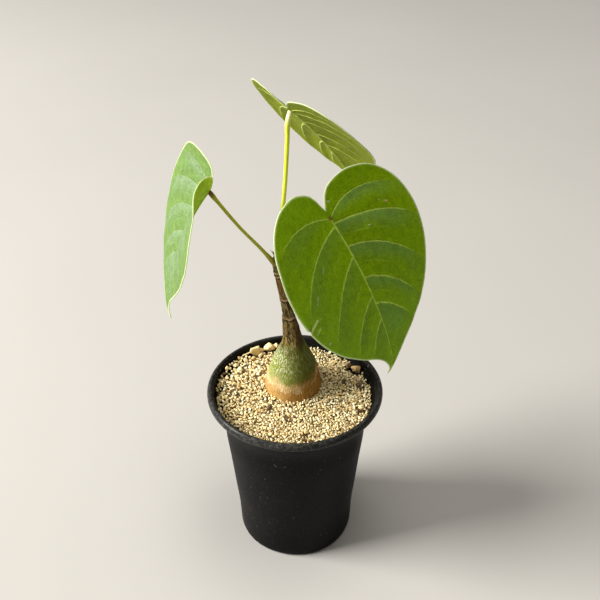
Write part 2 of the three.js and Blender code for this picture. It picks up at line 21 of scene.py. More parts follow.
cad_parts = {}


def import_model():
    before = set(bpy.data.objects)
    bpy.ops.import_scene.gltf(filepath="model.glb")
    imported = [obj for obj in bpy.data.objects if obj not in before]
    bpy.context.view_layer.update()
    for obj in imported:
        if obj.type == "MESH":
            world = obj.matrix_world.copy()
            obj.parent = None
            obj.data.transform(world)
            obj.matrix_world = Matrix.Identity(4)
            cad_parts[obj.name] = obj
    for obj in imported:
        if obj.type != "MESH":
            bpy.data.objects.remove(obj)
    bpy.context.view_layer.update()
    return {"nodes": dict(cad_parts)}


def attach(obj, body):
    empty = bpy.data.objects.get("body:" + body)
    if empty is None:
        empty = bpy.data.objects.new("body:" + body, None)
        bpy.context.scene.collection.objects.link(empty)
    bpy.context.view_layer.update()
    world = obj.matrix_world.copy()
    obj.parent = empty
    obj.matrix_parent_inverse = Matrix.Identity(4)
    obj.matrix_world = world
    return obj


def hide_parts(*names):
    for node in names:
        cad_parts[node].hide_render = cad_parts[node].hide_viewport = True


LOG = logging.getLogger("plant")
MM = 0.001
FULL_TURN = 2 * math.pi

Colour = tuple[float, float, float]
Range = tuple[float, float]
Place = tuple[float, float, float]
Array = np.ndarray
Mesh = bmesh.types.BMesh
Corner = bmesh.types.BMVert
Thing = bpy.types.Object
Material = bpy.types.Material
Random = np.random.Generator
Socket = bpy.types.NodeSocket
Input = Union[Socket, float, Sequence[float]]


def smooth_step(value: Array, low: float, high: float) -> Array:
    """Rise smoothly from 0 at low to 1 at high."""
    share = np.clip((value - low) / (high - low), 0.0, 1.0)
    return share * share * (3.0 - 2.0 * share)


def cubic(start: Array, end: Array, leave: Array, arrive: Array, share: Array) -> Array:
    """Read smooth pieces of a curve.

    Args:
        start: Where each piece starts, at share 0.
        end: Where it ends, at share 1.
        leave: Its slope at the start.
        arrive: Its slope at the end.
        share: How far along it to read.

    Returns:
        The values.
    """
    third = (2 * start - 2 * end + leave + arrive) * share**3
    return third + (-3 * start + 3 * end - 2 * leave - arrive) * share**2 + leave * share + start


def hermite(knots: Sequence[Range], keys: Array) -> Array:
    """Read a smooth curve through knots.

    Args:
        knots: Pairs of key and value, with rising keys.
        keys: Where to read it.

    Returns:
        The value at each key, held level past both ends.
    """
    key, value = np.array(knots, float).T
    low = np.maximum(np.arange(len(key)) - 1, 0)
    high = np.minimum(np.arange(len(key)) + 1, len(key) - 1)
    slope = (value[high] - value[low]) / (key[high] - key[low])
    keys = np.clip(np.asarray(keys, float), key[0], key[-1])
    after = np.clip(np.searchsorted(key, keys, side="right"), 1, len(key) - 1)
    before = after - 1
    step = key[after] - key[before]
    share = (keys - key[before]) / step
    return cubic(value[before], value[after], step * slope[before], step * slope[after], share)


def rumple(points: Array, wavelength: float, seed: int, waves: int = 9) -> Array:
    """Give a gentle random height between about -1 and 1 at each point.

    Args:
        points: Places, one a row.
        wavelength: The usual distance from one rise to the next.
        seed: Picks the pattern.
        waves: How many waves are laid over each other.

    Returns:
        One height for each place.
    """
    random = np.random.default_rng(seed)
    total = np.zeros(points.shape[:-1])
    for _ in range(waves):
        way = random.normal(size=points.shape[-1])
        way /= np.linalg.norm(way)
        beat = FULL_TURN / (wavelength * random.uniform(0.6, 1.7))
        total += np.sin(points @ way * beat + random.uniform(0, FULL_TURN))
    return total / (waves / 2)


class Side(Enum):
    """The two halves of a blade, each with the sign of its direction off the midrib."""

    LEFT = 1
    RIGHT = -1


class Slot(Enum):
    """The finishes that the part's record names for the pieces made here."""

    POT = "pot"
    GRIT = "grit"
    CAUDEX = "caudex"
    TIP = "growing_tip"
    STALK = "leafstalk"
    LEAF = "leaf"


class NodeDesk:
    """Lays out and joins the nodes of one material."""

    def __init__(self, name: str) -> None:
        """Start an empty material of this name.

        Args:
            name: The material's name.
        """
        self.material = bpy.data.materials.new(name)
        self.material.use_nodes = True
        self.tree = self.material.node_tree
        self.tree.nodes.clear()

    def feed(self, socket: Socket, value: Input) -> None:
        """Join a socket to another one, or set its number or colour.

        Args:
            socket: The input.
            value: What it takes.
        """
        if isinstance(value, bpy.types.NodeSocket):
            self.tree.links.new(value, socket)
        elif isinstance(value, (int, float)) and socket.type in ("RGBA", "VECTOR"):
            socket.default_value = [float(value)] * len(socket.default_value)
        elif socket.type == "RGBA":
            socket.default_value = (*value, 1.0)
        else:
            socket.default_value = value

    def add(self, kind: str, inputs: dict[Union[str, int], Input], **settings: object) -> bpy.types.Node:
        """Add a node.

        Args:
            kind: The node's type name, without its ShaderNode prefix.
            inputs: What each input takes.
            settings: The node's own properties.

        Returns:
            The node.
        """
        node = self.tree.nodes.new("ShaderNode" + kind)
        for name, value in settings.items():
            setattr(node, name, value)
        for name, value in inputs.items():
            self.feed(node.inputs[name], value)
        return node

    def place(self) -> Socket:
        """Give the position on the object, in metres."""
        return self.add("TexCoord", {}).outputs["Object"]

    def split(self, vector: Input) -> list[Socket]:
        """Give the three numbers of a vector."""
        return list(self.add("SeparateXYZ", {0: vector}).outputs)

    def chart(self, name: str) -> tuple[Socket, Socket, Socket]:
        """Give a UV map as a vector and as its two numbers."""
        vector = self.add("UVMap", {}, uv_map=name).outputs["UV"]
        return (vector, *self.split(vector)[:2])

    def attribute(self, name: str) -> Socket:
        """Give a number that the mesh carries."""
        return self.add("Attribute", {}, attribute_name=name).outputs["Fac"]

    def stretch(self, vector: Input, scale: Sequence[float]) -> Socket:
        """Scale a position along each axis."""
        return self.add("Mapping", {"Vector": vector, "Scale": scale}).outputs[0]

    def sum(self, operation: str, first: Input, second: Input = 0.0, clamp: bool = False) -> Socket:
        """Work out one step of arithmetic on two numbers."""
        return self.add("Math", {0: first, 1: second}, operation=operation, use_clamp=clamp).outputs[0]

    def vector_sum(self, operation: str, first: Input, second: Input) -> Socket:
        """Work out one step on two vectors whose result is a number."""
        return self.add("VectorMath", {0: first, 1: second}, operation=operation).outputs["Value"]

    def chain(self, operation: str, numbers: Sequence[Input]) -> Socket:
        """Work a row of numbers into one.

        Args:
            operation: The Math node's operation.
            numbers: The numbers, in order.

        Returns:
            The last result.
        """
        result = numbers[0]
        for number in numbers[1:]:
            result = self.sum(operation, result, number)
        return result

    def times(self, *factors: Input) -> Socket:
        """Multiply numbers together."""
        return self.chain("MULTIPLY", factors)

    def plus(self, *terms: Input) -> Socket:
        """Add numbers together."""
        return self.chain("ADD", terms)

    def less(self, first: Input, second: Input) -> Socket:
        """Take one number from another."""
        return self.sum("SUBTRACT", first, second)

    def size(self, value: Input) -> Socket:
        """Give a number without its sign."""
        return self.sum("ABSOLUTE", value)

    def sway(self, noise: Input, amount: float) -> Socket:
        """Turn a noise from 0 to 1 into a shift either way, of half the amount at most."""
        return self.times(self.less(noise, 0.5), amount)

    def remap(
        self, value: Input, low: Input, high: Input, start: Input = 0.0, end: Input = 1.0, smooth: bool = True
    ) -> Socket:
        """Carry a number over from one range to another.

        Args:
            value: The number.
            low: Where the first range starts.
            high: Where it ends, above or below low.
            start: Where the second range starts.
            end: Where it ends.
            smooth: Whether it eases in and out.

        Returns:
            The number, held at the second range's ends.
        """
        inputs = {"Value": value, "From Min": low, "From Max": high, "To Min": start, "To Max": end}
        kind = "SMOOTHSTEP" if smooth else "LINEAR"
        return self.add("MapRange", inputs, interpolation_type=kind).outputs[0]

    def noise(
        self, vector: Input, scale: float, detail: float = 3.0, rough: float = 0.5, bend: float = 0.0
    ) -> Socket:
        """Give a noise from 0 to 1."""
        inputs = {"Vector": vector, "Scale": scale, "Detail": detail, "Roughness": rough, "Distortion": bend}
        return self.add("TexNoise", inputs).outputs["Fac"]

    def fibres(self, vector: Input, scale: Place, detail: float = 4.0, rough: float = 0.6) -> Socket:
        """Give a noise from 0 to 1 that is drawn out along an axis."""
        return self.noise(self.stretch(vector, scale), 1.0, detail, rough)

    def cells(self, vector: Input, scale: float, feature: str = "F1") -> Socket:
        """Give the distance in a pattern of cells, to their middles or edges."""
        return self.add("TexVoronoi", {"Vector": vector, "Scale": scale}, feature=feature).outputs["Distance"]

    def mix(self, factor: Input, first: Input, second: Input, mode: str = "MIX") -> Socket:
        """Mix two colours.

        Args:
            factor: How much the second one counts.
            first: The first colour.
            second: The second colour.
            mode: The blend mode.

        Returns:
            The colour.
        """
        node = self.add("Mix", {}, data_type="RGBA", blend_type=mode, clamp_result=False)
        for index, value in ((0, factor), (6, first), (7, second)):
            self.feed(node.inputs[index], value)
        return node.outputs[2]

    def glaze(self, under: Input, over: Input, share: float, *factors: Input) -> Socket:
        """Lay a colour over another, up to a share of it where every factor is 1."""
        return self.mix(self.times(*factors, share), under, over)

    def ramp(self, factor: Input, stops: Sequence[tuple[float, Colour]]) -> Socket:
        """Read a colour off a ramp of stops.

        Args:
            factor: Where to read.
            stops: Pairs of position and colour.

        Returns:
            The colour.
        """
        node = self.add("ValToRGB", {"Fac": factor})
        elements = node.color_ramp.elements
        while len(elements) < len(stops):
            elements.new(0.5)
        for element, (position, colour) in zip(elements, stops):
            element.position = position
            element.color = (*colour, 1.0)
        return node.outputs["Color"]

    def bump(self, height: Input) -> Socket:
        """Turn a height in millimetres into a normal."""
        return self.add("Bump", {"Height": height, "Strength": 1.0, "Distance": MM}).outputs["Normal"]

    def stroke(self, chart: Input, start: Range, end: Range, half_width: float) -> Socket:
        """Draw a short straight stroke on a chart.

        Args:
            chart: The chart's vector.
            start: One end of the stroke.
            end: The other end.
            half_width: Half its width.

        Returns:
            1 on the stroke and 0 off it.
        """
        run = Vector((*end, 0)) - Vector((*start, 0))
        offset = self.add("VectorMath", {0: chart, 1: (*start, 0)}, operation="SUBTRACT").outputs[0]
        shadow = self.vector_sum("DOT_PRODUCT", offset, run)
        share = self.sum("MULTIPLY", shadow, 1 / max(run.length_squared, 1e-6), clamp=True)
        nearest = self.add("VectorMath", {0: run, "Scale": share}, operation="SCALE").outputs[0]
        gap = self.vector_sum("DISTANCE", offset, nearest)
        return self.remap(gap, half_width * 1.4, half_width * 0.6)

    def surface(self, colour: Input, rough: Input, normal: Input, **constants: Input) -> Socket:
        """Make the shader of a solid surface.

        Args:
            colour: Its colour.
            rough: Its roughness.
            normal: Its relief.
            constants: The shader's other inputs, with an underscore for each space.

        Returns:
            The shader.
        """
        inputs = {"Base Color": colour, "Roughness": rough, "Normal": normal}
        inputs.update({name.replace("_", " "): value for name, value in constants.items()})
        return self.add("BsdfPrincipled", inputs).outputs[0]

    def finish(self, shader: Socket) -> Material:
        """Join the shader to the output and give the finished material."""
        self.add("OutputMaterial", {"Surface": shader})
        return self.material


@dataclass(frozen=True)
class Mark:
    """A mark on a blade's upper face: points on the flat blade and half its width, in millimetres."""

    points: tuple[Range, ...]
    half_width: float
    colour: Colour
    strength: float = 0.8


@dataclass(frozen=True)
class LeafFinish:
    """A thin green blade with pale veins, a pale margin, a painted greyish sheen beyond its veins and a
    lighter underside; widths in millimetres.
    """

    name: str
    marks: tuple[Mark, ...] = ()
    deep: Colour = (0.222, 0.366, 0.001)
    fresh: Colour = (0.290, 0.460, 0.001)
    # The greyish colour of the painted sheen beyond each vein, its share, and how much of it the right half
    # gets.
    painted_sheen: Colour = (0.200, 0.345, 0.085)
    painted_sheen_share: float = 0.74
    painted_sheen_right: float = 1.0
    vein: Colour = (0.62, 0.78, 0.12)
    vein_share: float = 0.88
    vein_width: float = 1.2
    vein_half: Range = (0.36, 0.13)
    midrib_half: Range = (0.60, 0.16)
    midrib_length: float = 70.0
    small_vein_half: Range = (0.06, 0.20)
    small_vein_share: float = 0.42
    # The margin colour is partly the blade's own pale edge and partly a painted highlight of its rim.
    margin: Colour = (0.95, 1.00, 0.68)
    margin_width: Range = (0.20, 0.95)
    fleck: Colour = (0.50, 0.60, 0.36)
    under_deep: Colour = (0.17, 0.26, 0.02)
    under_pale: Colour = (0.34, 0.40, 0.10)
    under_vein: Colour = (0.55, 0.62, 0.18)
    glow: Colour = (0.36, 0.58, 0.01)
    joint_spot: Colour = (0.22, 0.06, 0.02)
    mottle: float = 0.27
    translucent: float = 0.40
    gloss: float = 0.46
    shine: float = 0.16

    def half_width(self, desk: NodeDesk, place: Input, length: float, widths: Range) -> Socket:
        """Give half the width of a vein that tapers over a length."""
        wide, narrow = widths
        return desk.remap(place, 0.0, length, wide * self.vein_width, narrow * self.vein_width, smooth=False)

    def veins(self, desk: NodeDesk) -> tuple[Socket, Socket]:
        """Draw the midrib with the side veins, and the thin veins half way between those.

        Args:
            desk: The node desk.

        Returns:
            Where the ribs and where the thin veins are, each from 0 to 1.
        """
        _, line, along = desk.chart("Lines")
        flat, flat_x, flat_y = desk.chart("Flat")
        _, spread, _ = desk.chart("Reach")
        line = desk.plus(line, desk.sway(desk.noise(flat, 0.35, 2.0), 0.06))
        off_vein = desk.times(desk.size(desk.less(line, desk.sum("ROUND", line))), spread)
        half = self.half_width(desk, along, 1.0, self.vein_half)
        vein = desk.remap(off_vein, desk.times(half, 1.25), desk.times(half, 0.45))
        real = desk.times(desk.sum("GREATER_THAN", line, 0.6), desk.sum("LESS_THAN", line, 5.5))
        vein = desk.times(vein, real, desk.remap(along, 0.95, 0.68))
        half = self.half_width(desk, flat_x, self.midrib_length, self.midrib_half)
        rib = desk.remap(desk.size(flat_y), half, desk.times(half, 0.45))
        rib = desk.times(rib, desk.sum("GREATER_THAN", flat_x, -0.4))
        off_small = desk.times(desk.size(desk.less(desk.sum("FRACT", line), 0.55)), spread)
        small = desk.times(
            desk.remap(off_small, *reversed(self.small_vein_half)),
            desk.remap(along, 0.04, 0.15),
            desk.remap(along, 0.60, 0.25),
            desk.sum("GREATER_THAN", line, 2.2),
        )
        return desk.sum("MAXIMUM", vein, rib), small

    def upper(self, desk: NodeDesk, ribs: Socket, small: Socket, grain: Socket) -> Socket:
        """Colour the upper face: a painted greyish sheen beyond each vein, fresher green before the next and
        near the margin.

        Args:
            desk: The node desk.
            ribs: Where the ribs are, from 0 to 1.
            small: Where the thin veins are, from 0 to 1.
            grain: A fine noise.

        Returns:
            The colour.
        """
        _, line, along = desk.chart("Lines")
        flat, _, flat_y = desk.chart("Flat")
        _, _, inset = desk.chart("Reach")
        between = desk.sum("FRACT", line)
        patches = desk.noise(flat, 0.07, 3.0, 0.6)
        rungs = desk.add("CombineXYZ", {0: desk.times(line, 3.0), 1: desk.times(along, 60.0)}).outputs[0]
        # The share between veins paints the light and shade of the swells between them; the noises are the
        # blade's own uneven tone.
        shade = desk.plus(
            desk.times(between, 0.40),
            desk.times(patches, 0.55),
            desk.sway(grain, 0.30),
            desk.sway(desk.noise(rungs, 1.0), 0.45),
            desk.remap(inset, 2.0, 14.0, 0.22, 0.0),
        )
        top = desk.mix(desk.remap(shade, 0.22, 0.85), self.deep, self.fresh)
        # Painted sheen: a greyish reflection on the swells just beyond each vein, weaker near the margin.
        painted_sheen = desk.times(
            desk.remap(desk.plus(between, desk.times(patches, 0.5)), 0.90, 0.25),
            desk.remap(line, 0.98, 1.02),
            desk.remap(inset, 3.0, 12.0, 0.25, 1.0),
            desk.remap(flat_y, -3.0, 3.0, self.painted_sheen_right, 1.0),
        )
        top = desk.glaze(top, self.painted_sheen, self.painted_sheen_share, painted_sheen)
        top = desk.glaze(top, self.vein, self.small_vein_share, small)
        top = desk.glaze(top, self.vein, self.vein_share, ribs)
        spots = desk.remap(desk.cells(flat, 0.16), 0.075, 0.045)
        top = desk.glaze(top, self.fleck, 0.6, spots, desk.remap(desk.noise(flat, 0.11, 1.0), 0.5, 0.62))
        for mark in self.marks:
            for start, end in zip(mark.points, mark.points[1:]):
                stroke = desk.stroke(flat, start, end, mark.half_width)
                top = desk.glaze(top, mark.colour, mark.strength, stroke)
        return top

    def lower(self, desk: NodeDesk, ribs: Socket, small: Socket, net: Socket) -> Socket:
        """Colour the underside: pale patches under a net of fine veins.

        Args:
            desk: The node desk.
            ribs: Where the ribs are, from 0 to 1.
            small: Where the thin veins are, from 0 to 1.
            net: Where the finest veins are.

        Returns:
            The colour.
        """
        flat, _, _ = desk.chart("Flat")
        patches = desk.remap(desk.noise(flat, 0.09, 3.0, 0.6), 0.3, 0.7)
        low = desk.mix(patches, self.under_deep, self.under_pale)
        for share, lines in ((0.18, net), (0.5, small), (0.9, ribs)):
            low = desk.glaze(low, self.under_vein, share, lines)
        return low

    def build(self) -> Material:
        """Make the material.

        Returns:
            The material, which reads the blade's charts Lines, Flat and Reach and its number under.
        """
        desk = NodeDesk(self.name)
        flat, _, _ = desk.chart("Flat")
        _, _, inset = desk.chart("Reach")
        under = desk.attribute("under")
        ribs, small = self.veins(desk)
        grain = desk.noise(flat, 1.3, 4.0, 0.65)
        net = desk.remap(desk.cells(flat, 0.45, "DISTANCE_TO_EDGE"), 0.14, 0.0)

        colour = desk.mix(under, self.upper(desk, ribs, small, grain), self.lower(desk, ribs, small, net))
        most, patch = self.mottle, 0.4 * self.mottle
        uneven = desk.plus(
            desk.remap(grain, 0.32, 0.68, -most, most, smooth=False),
            1.0,
            desk.remap(desk.noise(flat, 0.33, 2.0, 0.5), 0.3, 0.7, -patch, patch),
        )
        uneven = desk.less(uneven, desk.times(net, 0.5 * most))
        colour = desk.mix(1.0, colour, uneven, "MULTIPLY")
        # Pale margin: partly the blade's own pale edge, partly a painted highlight of the rim catching the
        # light.
        colour = desk.glaze(colour, self.margin, 0.90, desk.remap(inset, *reversed(self.margin_width)))
        centre = desk.add("VectorMath", {0: flat}, operation="LENGTH").outputs["Value"]
        spot = desk.times(desk.remap(centre, 1.3, 0.5), desk.less(1.0, under))
        colour = desk.glaze(colour, self.joint_spot, 0.85, spot)

        step = desk.remap(under, 0.0, 1.0, -0.08, 0.14, smooth=False)
        height = desk.plus(
            desk.times(desk.sum("MAXIMUM", ribs, desk.times(small, 0.5)), step),
            desk.times(net, desk.times(step, 0.10)),
            desk.times(desk.noise(flat, 2.2, 3.0), 0.03),
        )
        normal = desk.bump(height)
        rough = desk.remap(grain, 0.3, 0.7, self.gloss - 0.05, self.gloss + 0.07)
        rough = desk.plus(rough, desk.times(under, 0.14))
        skin = desk.surface(colour, rough, normal, Specular_IOR_Level=self.shine)
        glow = desk.add("BsdfTranslucent", {"Color": desk.mix(0.6, colour, self.glow), "Normal": normal})
        both = desk.add("MixShader", {0: self.translucent, 1: skin, 2: glow.outputs[0]})
        return desk.finish(both.outputs[0])


@dataclass(frozen=True)
class StalkFinish:
    """A smooth green stalk that changes colour at its foot and under its blade."""

    name: str
    foot: Colour
    middle: Colour
    knuckle: Colour
    knuckle_from: float = 0.93

    def build(self) -> Material:
        """Make the material.

        Returns:
            The material, which reads the stalk's chart Run.
        """
        desk = NodeDesk(self.name)
        _, run, _ = desk.chart("Run")
        place = desk.place()
        colour = desk.mix(desk.remap(run, 0.03, 0.22), self.foot, self.middle)
        knuckle = desk.remap(run, self.knuckle_from - 0.06, self.knuckle_from + 0.02)
        colour = desk.mix(knuckle, colour, self.knuckle)
        mottle = desk.fibres(place, (900, 900, 250))
        colour = desk.glaze(colour, self.foot, 0.25, desk.remap(mottle, 0.35, 0.75))
        normal = desk.bump(desk.times(desk.fibres(place, (1600, 1600, 220), 3.0, 0.5), 0.05))
        flesh = desk.surface(
            colour, 0.38, normal, Specular_IOR_Level=0.3, Subsurface_Weight=0.15,
            Subsurface_Radius=(0.4, 0.6, 0.1), Subsurface_Scale=MM,
        )
        return desk.finish(flesh)


@dataclass(frozen=True)
class BarkFinish:
    """Skin of the caudex: tan where it was buried, mossy green above, brown fissured bark on the stem, each
    with painted shade towards its right side.

    Heights are in metres. The buried, mossy, woody and young parts blend between those given.
    """

    name: str = "caudex skin"
    tan: Colour = (0.47, 0.285, 0.095)
    # The rust colour below also paints the shade on the right side of the buried part.
    rust: Colour = (0.30, 0.135, 0.010)
    cream: Colour = (0.74, 0.60, 0.33)
    soil_ring: Colour = (0.88, 0.76, 0.50)
    moss: Colour = (0.235, 0.275, 0.035)
    # The dark moss colour below also paints the shade on the right side of the green part.
    moss_dark: Colour = (0.105, 0.115, 0.005)
    # The bark colour below also paints the shade on the stem's right side and the shadow under each scar.
    bark: Colour = (0.055, 0.030, 0.006)
    bark_pale: Colour = (0.47, 0.31, 0.09)
    ash: Colour = (0.57, 0.48, 0.27)
    chalk: Colour = (0.86, 0.86, 0.68)
    shoot: Colour = (0.26, 0.26, 0.03)
    scar: Colour = (0.80, 0.54, 0.36)
    fissure: Colour = (0.025, 0.014, 0.006)
    soil_line: float = 0.0972
    green_from: Range = (0.0985, 0.1010)
    wood_from: Range = (0.1130, 0.1210)
    shoot_from: Range = (0.1585, 0.1640)
    scars: tuple[float, ...] = (0.1592, 0.1570, 0.1438, 0.1331)
    fibre_lean: float = 0.22

    def buried(self, desk: NodeDesk, noises: dict[str, Socket], away: Socket, height: Socket) -> Socket:
        """Colour the part that stood in the soil, up to the pale ring at its old soil line.

        Args:
            desk: The node desk.
            noises: The shared noises by name.
            away: Place from the lit left to the shaded right, from 0 to 1, which paints the shade.
            height: The height, made uneven.

        Returns:
            The colour.
        """
        # Painted shade: tan on the lit left, turning to dark rust towards the shaded right.
        colour = desk.mix(away, self.tan, self.rust)
        for noise, low, high, share, over in (
            ("blotch", 0.45, 0.75, 0.35, self.rust),
            ("speck", 0.58, 0.72, 0.40, self.cream),
            ("scales", 0.48, 0.34, 0.45, self.rust),
            ("fibre", 0.47, 0.36, 0.35, self.rust),
            ("fibre", 0.53, 0.66, 0.30, self.cream),
            ("scales", 0.56, 0.68, 0.30, self.cream),
        ):
            colour = desk.glaze(colour, over, share, desk.remap(noises[noise], low, high))
        band = desk.times(desk.remap(height, 0.0955, 0.0985), desk.remap(height, 0.1025, 0.0995))
        # A cream band at the old soil line, stronger on the lit left: painted shade fades it towards the
        # right.
        colour = desk.mix(desk.times(band, desk.remap(away, 0.2, 1.0, 0.35, 0.08)), colour, self.cream)
        ring = desk.remap(desk.size(desk.less(height, self.soil_line)), 0.0008, 0.0003)
        broken = desk.remap(desk.noise(desk.place(), 260.0, 2.0), 0.42, 0.58)
        return desk.glaze(colour, self.soil_ring, 0.70, ring, broken)

    def above(self, desk: NodeDesk, noises: dict[str, Socket], away: Socket, lee: Socket) -> list[Socket]:
        """Colour the mossy, the woody and the young part above the soil.

        Args:
            desk: The node desk.
            noises: The shared noises by name.
            away: Place from the lit left to the shaded right, from 0 to 1, which paints the shade.
            lee: The place across the leaning stem, rising towards its shaded right side, which paints the
                shade.

        Returns:
            The three colours.
        """
        fibre, streak = noises["fibre"], noises["streak"]
        _, _, z = desk.split(desk.place())
        # Painted shade: the green turns dark towards the shaded right.
        green = desk.mix(away, self.moss, self.moss_dark)
        green = desk.glaze(green, self.moss_dark, 0.55, desk.remap(streak, 0.45, 0.7))
        # Pale chalky fibres, thinning out towards the shaded right as part of the painted shade.
        pale = desk.times(desk.remap(fibre, 0.50, 0.61), desk.remap(away, 0.0, 0.9, 0.95, 0.15))
        green = desk.mix(desk.times(pale, desk.remap(z, 0.100, 0.111, 0.28, 1.0)), green, self.chalk)
        wood = desk.mix(desk.remap(streak, 0.44, 0.57), self.bark, self.bark_pale)
        ashen = desk.times(desk.remap(fibre, 0.48, 0.62), desk.remap(z, 0.125, 0.142, 0.35, 0.95))
        wood = desk.mix(ashen, wood, self.ash)
        # Painted shade: the stem darkens to bark brown across its right side.
        wood = desk.mix(desk.remap(lee, -0.0004, 0.0030, 0.0, 0.90), wood, self.bark)
        young = desk.times(desk.remap(z, 0.1440, 0.1480), desk.remap(z, 0.1590, 0.1565))
        wood = desk.glaze(wood, self.rust, 0.55, young)
        return [green, wood, desk.mix(desk.remap(streak, 0.42, 0.62), self.shoot, self.bark)]

    def build(self) -> Material:
        """Make the material.

        Returns:
            The material, which reads the skin's number crack.
        """
        desk = NodeDesk(self.name)
        place = desk.place()
        x, _, z = desk.split(place)
        # From 0 on the lit left to 1 on the shaded right; it paints the shade below.
        away = desk.remap(x, -0.014, 0.009)
        leaning = desk.add("Mapping", {"Vector": place, "Rotation": (0.0, self.fibre_lean, 0.0)}).outputs[0]
        noises = {
            "blotch": desk.noise(place, 160.0, 4.0, 0.6),
            "streak": desk.noise(desk.stretch(leaning, (1300, 1300, 230)), 1.0, 5.0, 0.65, 0.4),
            "fibre": desk.fibres(leaning, (1650, 1650, 165)),
            "scales": desk.fibres(place, (650, 650, 1500), 4.0, 0.65),
            "speck": desk.fibres(place, (2200, 2200, 900), 3.0, 0.7),
        }
        height = desk.plus(z, desk.sway(noises["blotch"], 0.012), desk.sway(noises["fibre"], 0.014))
        height = desk.less(height, desk.remap(x, 0.002, 0.013, 0.0, 0.0035))
        # Place across the leaning stem, rising towards its shaded right side; it paints the shade below.
        lee = desk.plus(x, desk.times(desk.less(z, 0.119), 0.16))

        colour = self.buried(desk, noises, away, height)
        borders = (self.green_from, self.wood_from, self.shoot_from)
        for (low, high), part in zip(borders, self.above(desk, noises, away, lee)):
            colour = desk.mix(desk.remap(height, low, high), colour, part)
        wavy = desk.plus(z, desk.sway(desk.noise(place, 420.0, 2.0), 0.0025))
        rings: Input = 0.0
        for scar in self.scars:
            off = desk.less(wavy, scar)
            rings = desk.sum("MAXIMUM", rings, desk.remap(desk.size(off), 0.0007, 0.0002))
            shadow = desk.remap(desk.size(desk.plus(off, 0.0011)), 0.0002, 0.0006, 0.8, 0.0)
            colour = desk.mix(shadow, colour, self.bark)
        # Pale scar rings, fading towards the stem's shaded right side: painted shade.
        colour = desk.mix(desk.times(rings, desk.remap(lee, -0.0005, 0.0030, 0.9, 0.2)), colour, self.scar)
        colour = desk.glaze(colour, self.fissure, 0.80, desk.attribute("crack"))
        relief = desk.plus(desk.times(noises["streak"], 0.30), desk.times(noises["fibre"], 0.12))
        relief = desk.times(relief, desk.remap(z, 0.096, 0.118, 0.45, 2.2))
        normal = desk.bump(desk.plus(relief, desk.times(rings, 0.45)))
        rough = desk.remap(z, 0.090, 0.115, 0.50, 0.82)
        return desk.finish(desk.surface(colour, rough, normal, Specular_IOR_Level=0.2))


@dataclass(frozen=True)
class GritFinish:
    """Crushed pale stone, each grain with a tone of its own."""

    name: str = "pale grit"
    tones: tuple[tuple[float, Colour], ...] = (
        (0.00, (0.045, 0.036, 0.028)),
        (0.05, (0.22, 0.15, 0.08)),
        (0.16, (0.64, 0.44, 0.20)),
        (0.45, (0.91, 0.70, 0.36)),
        (0.75, (1.00, 0.84, 0.48)),
        (1.00, (1.00, 0.94, 0.66)),
    )
    stain: Colour = (0.55, 0.35, 0.14)

    def build(self) -> Material:
        """Make the material.

        Returns:
            The material, which reads each grain's number tone.
        """
        desk = NodeDesk(self.name)
        place = desk.place()
        mottle = desk.noise(place, 1400.0, 4.0, 0.65)
        colour = desk.ramp(desk.attribute("tone"), self.tones)
        colour = desk.glaze(colour, self.stain, 0.25, desk.remap(mottle, 0.42, 0.75))
        pits = desk.remap(desk.cells(place, 1700.0), 0.05, 0.35)
        normal = desk.bump(desk.plus(desk.times(mottle, 0.16), desk.times(pits, 0.05)))
        return desk.finish(desk.surface(colour, 0.88, normal, Specular_IOR_Level=0.25))


@dataclass(frozen=True)
class PotFinish:
    """Matte black plastic with light handling marks, pale dust specks that thicken towards the lip, and a
    lighter lip; sizes in metres. The lip is lighter partly from scuffing and partly as a painted highlight,
    and the extra specks down the left side paint the light falling there.
    """

    name: str = "black plastic"
    black: Colour = (0.0026, 0.0026, 0.0027)
    grey: Colour = (0.0095, 0.0095, 0.0092)
    # A lighter grey for handling marks, and for the lip, where it is partly a painted highlight.
    worn_and_sheen: Colour = (0.10, 0.10, 0.094)
    dust: Colour = (0.42, 0.38, 0.31)
    lip_radius: Range = (0.0415, 0.0440)
    lip_height: Range = (0.0890, 0.0925)

    def build(self) -> Material:
        """Make the material.

        Returns:
            The material.
        """
        desk = NodeDesk(self.name)
        place = desk.place()
        x, y, z = desk.split(place)
        cloud = desk.noise(place, 45.0, 4.0, 0.6)
        colour = desk.mix(desk.remap(cloud, 0.40, 0.75), self.black, self.grey)
        film = desk.remap(desk.noise(place, 900.0, 3.0, 0.7), 0.55, 0.72)
        colour = desk.glaze(colour, self.worn_and_sheen, 0.16, film)
        radius = desk.sum("SQRT", desk.plus(desk.times(x, x), desk.times(y, y)))
        lip = desk.times(desk.remap(radius, *self.lip_radius), desk.remap(z, *self.lip_height))
        # The lip is lighter all round: partly scuffs, partly a painted highlight along its rounded edge.
        lip_scuff_and_sheen = desk.remap(desk.noise(place, 700.0, 4.0, 0.7), 0.42, 0.70, 0.18, 0.75)
        colour = desk.mix(desk.times(lip, lip_scuff_and_sheen), colour, self.worn_and_sheen)
        dust_and_lit_side = desk.remap(desk.noise(place, 60.0, 2.0), 0.46, 0.62)
        # More pale specks all down the left side paint the window light falling there; elsewhere they are
        # dust.
        dust_and_lit_side = desk.sum("MAXIMUM", dust_and_lit_side, desk.remap(x, -0.034, -0.040))
        specks = desk.times(desk.remap(desk.cells(place, 330.0), 0.13, 0.05), dust_and_lit_side)
        colour = desk.mix(desk.times(specks, desk.remap(z, 0.05, 0.094, 0.30, 0.7)), colour, self.dust)
        rough = desk.less(desk.remap(cloud, 0.3, 0.75, 0.46, 0.60), desk.times(lip, 0.26))
        normal = desk.bump(desk.times(desk.noise(place, 1500.0, 3.0, 0.6), 0.05))
        return desk.finish(desk.surface(colour, rough, normal, Specular_IOR_Level=0.08))


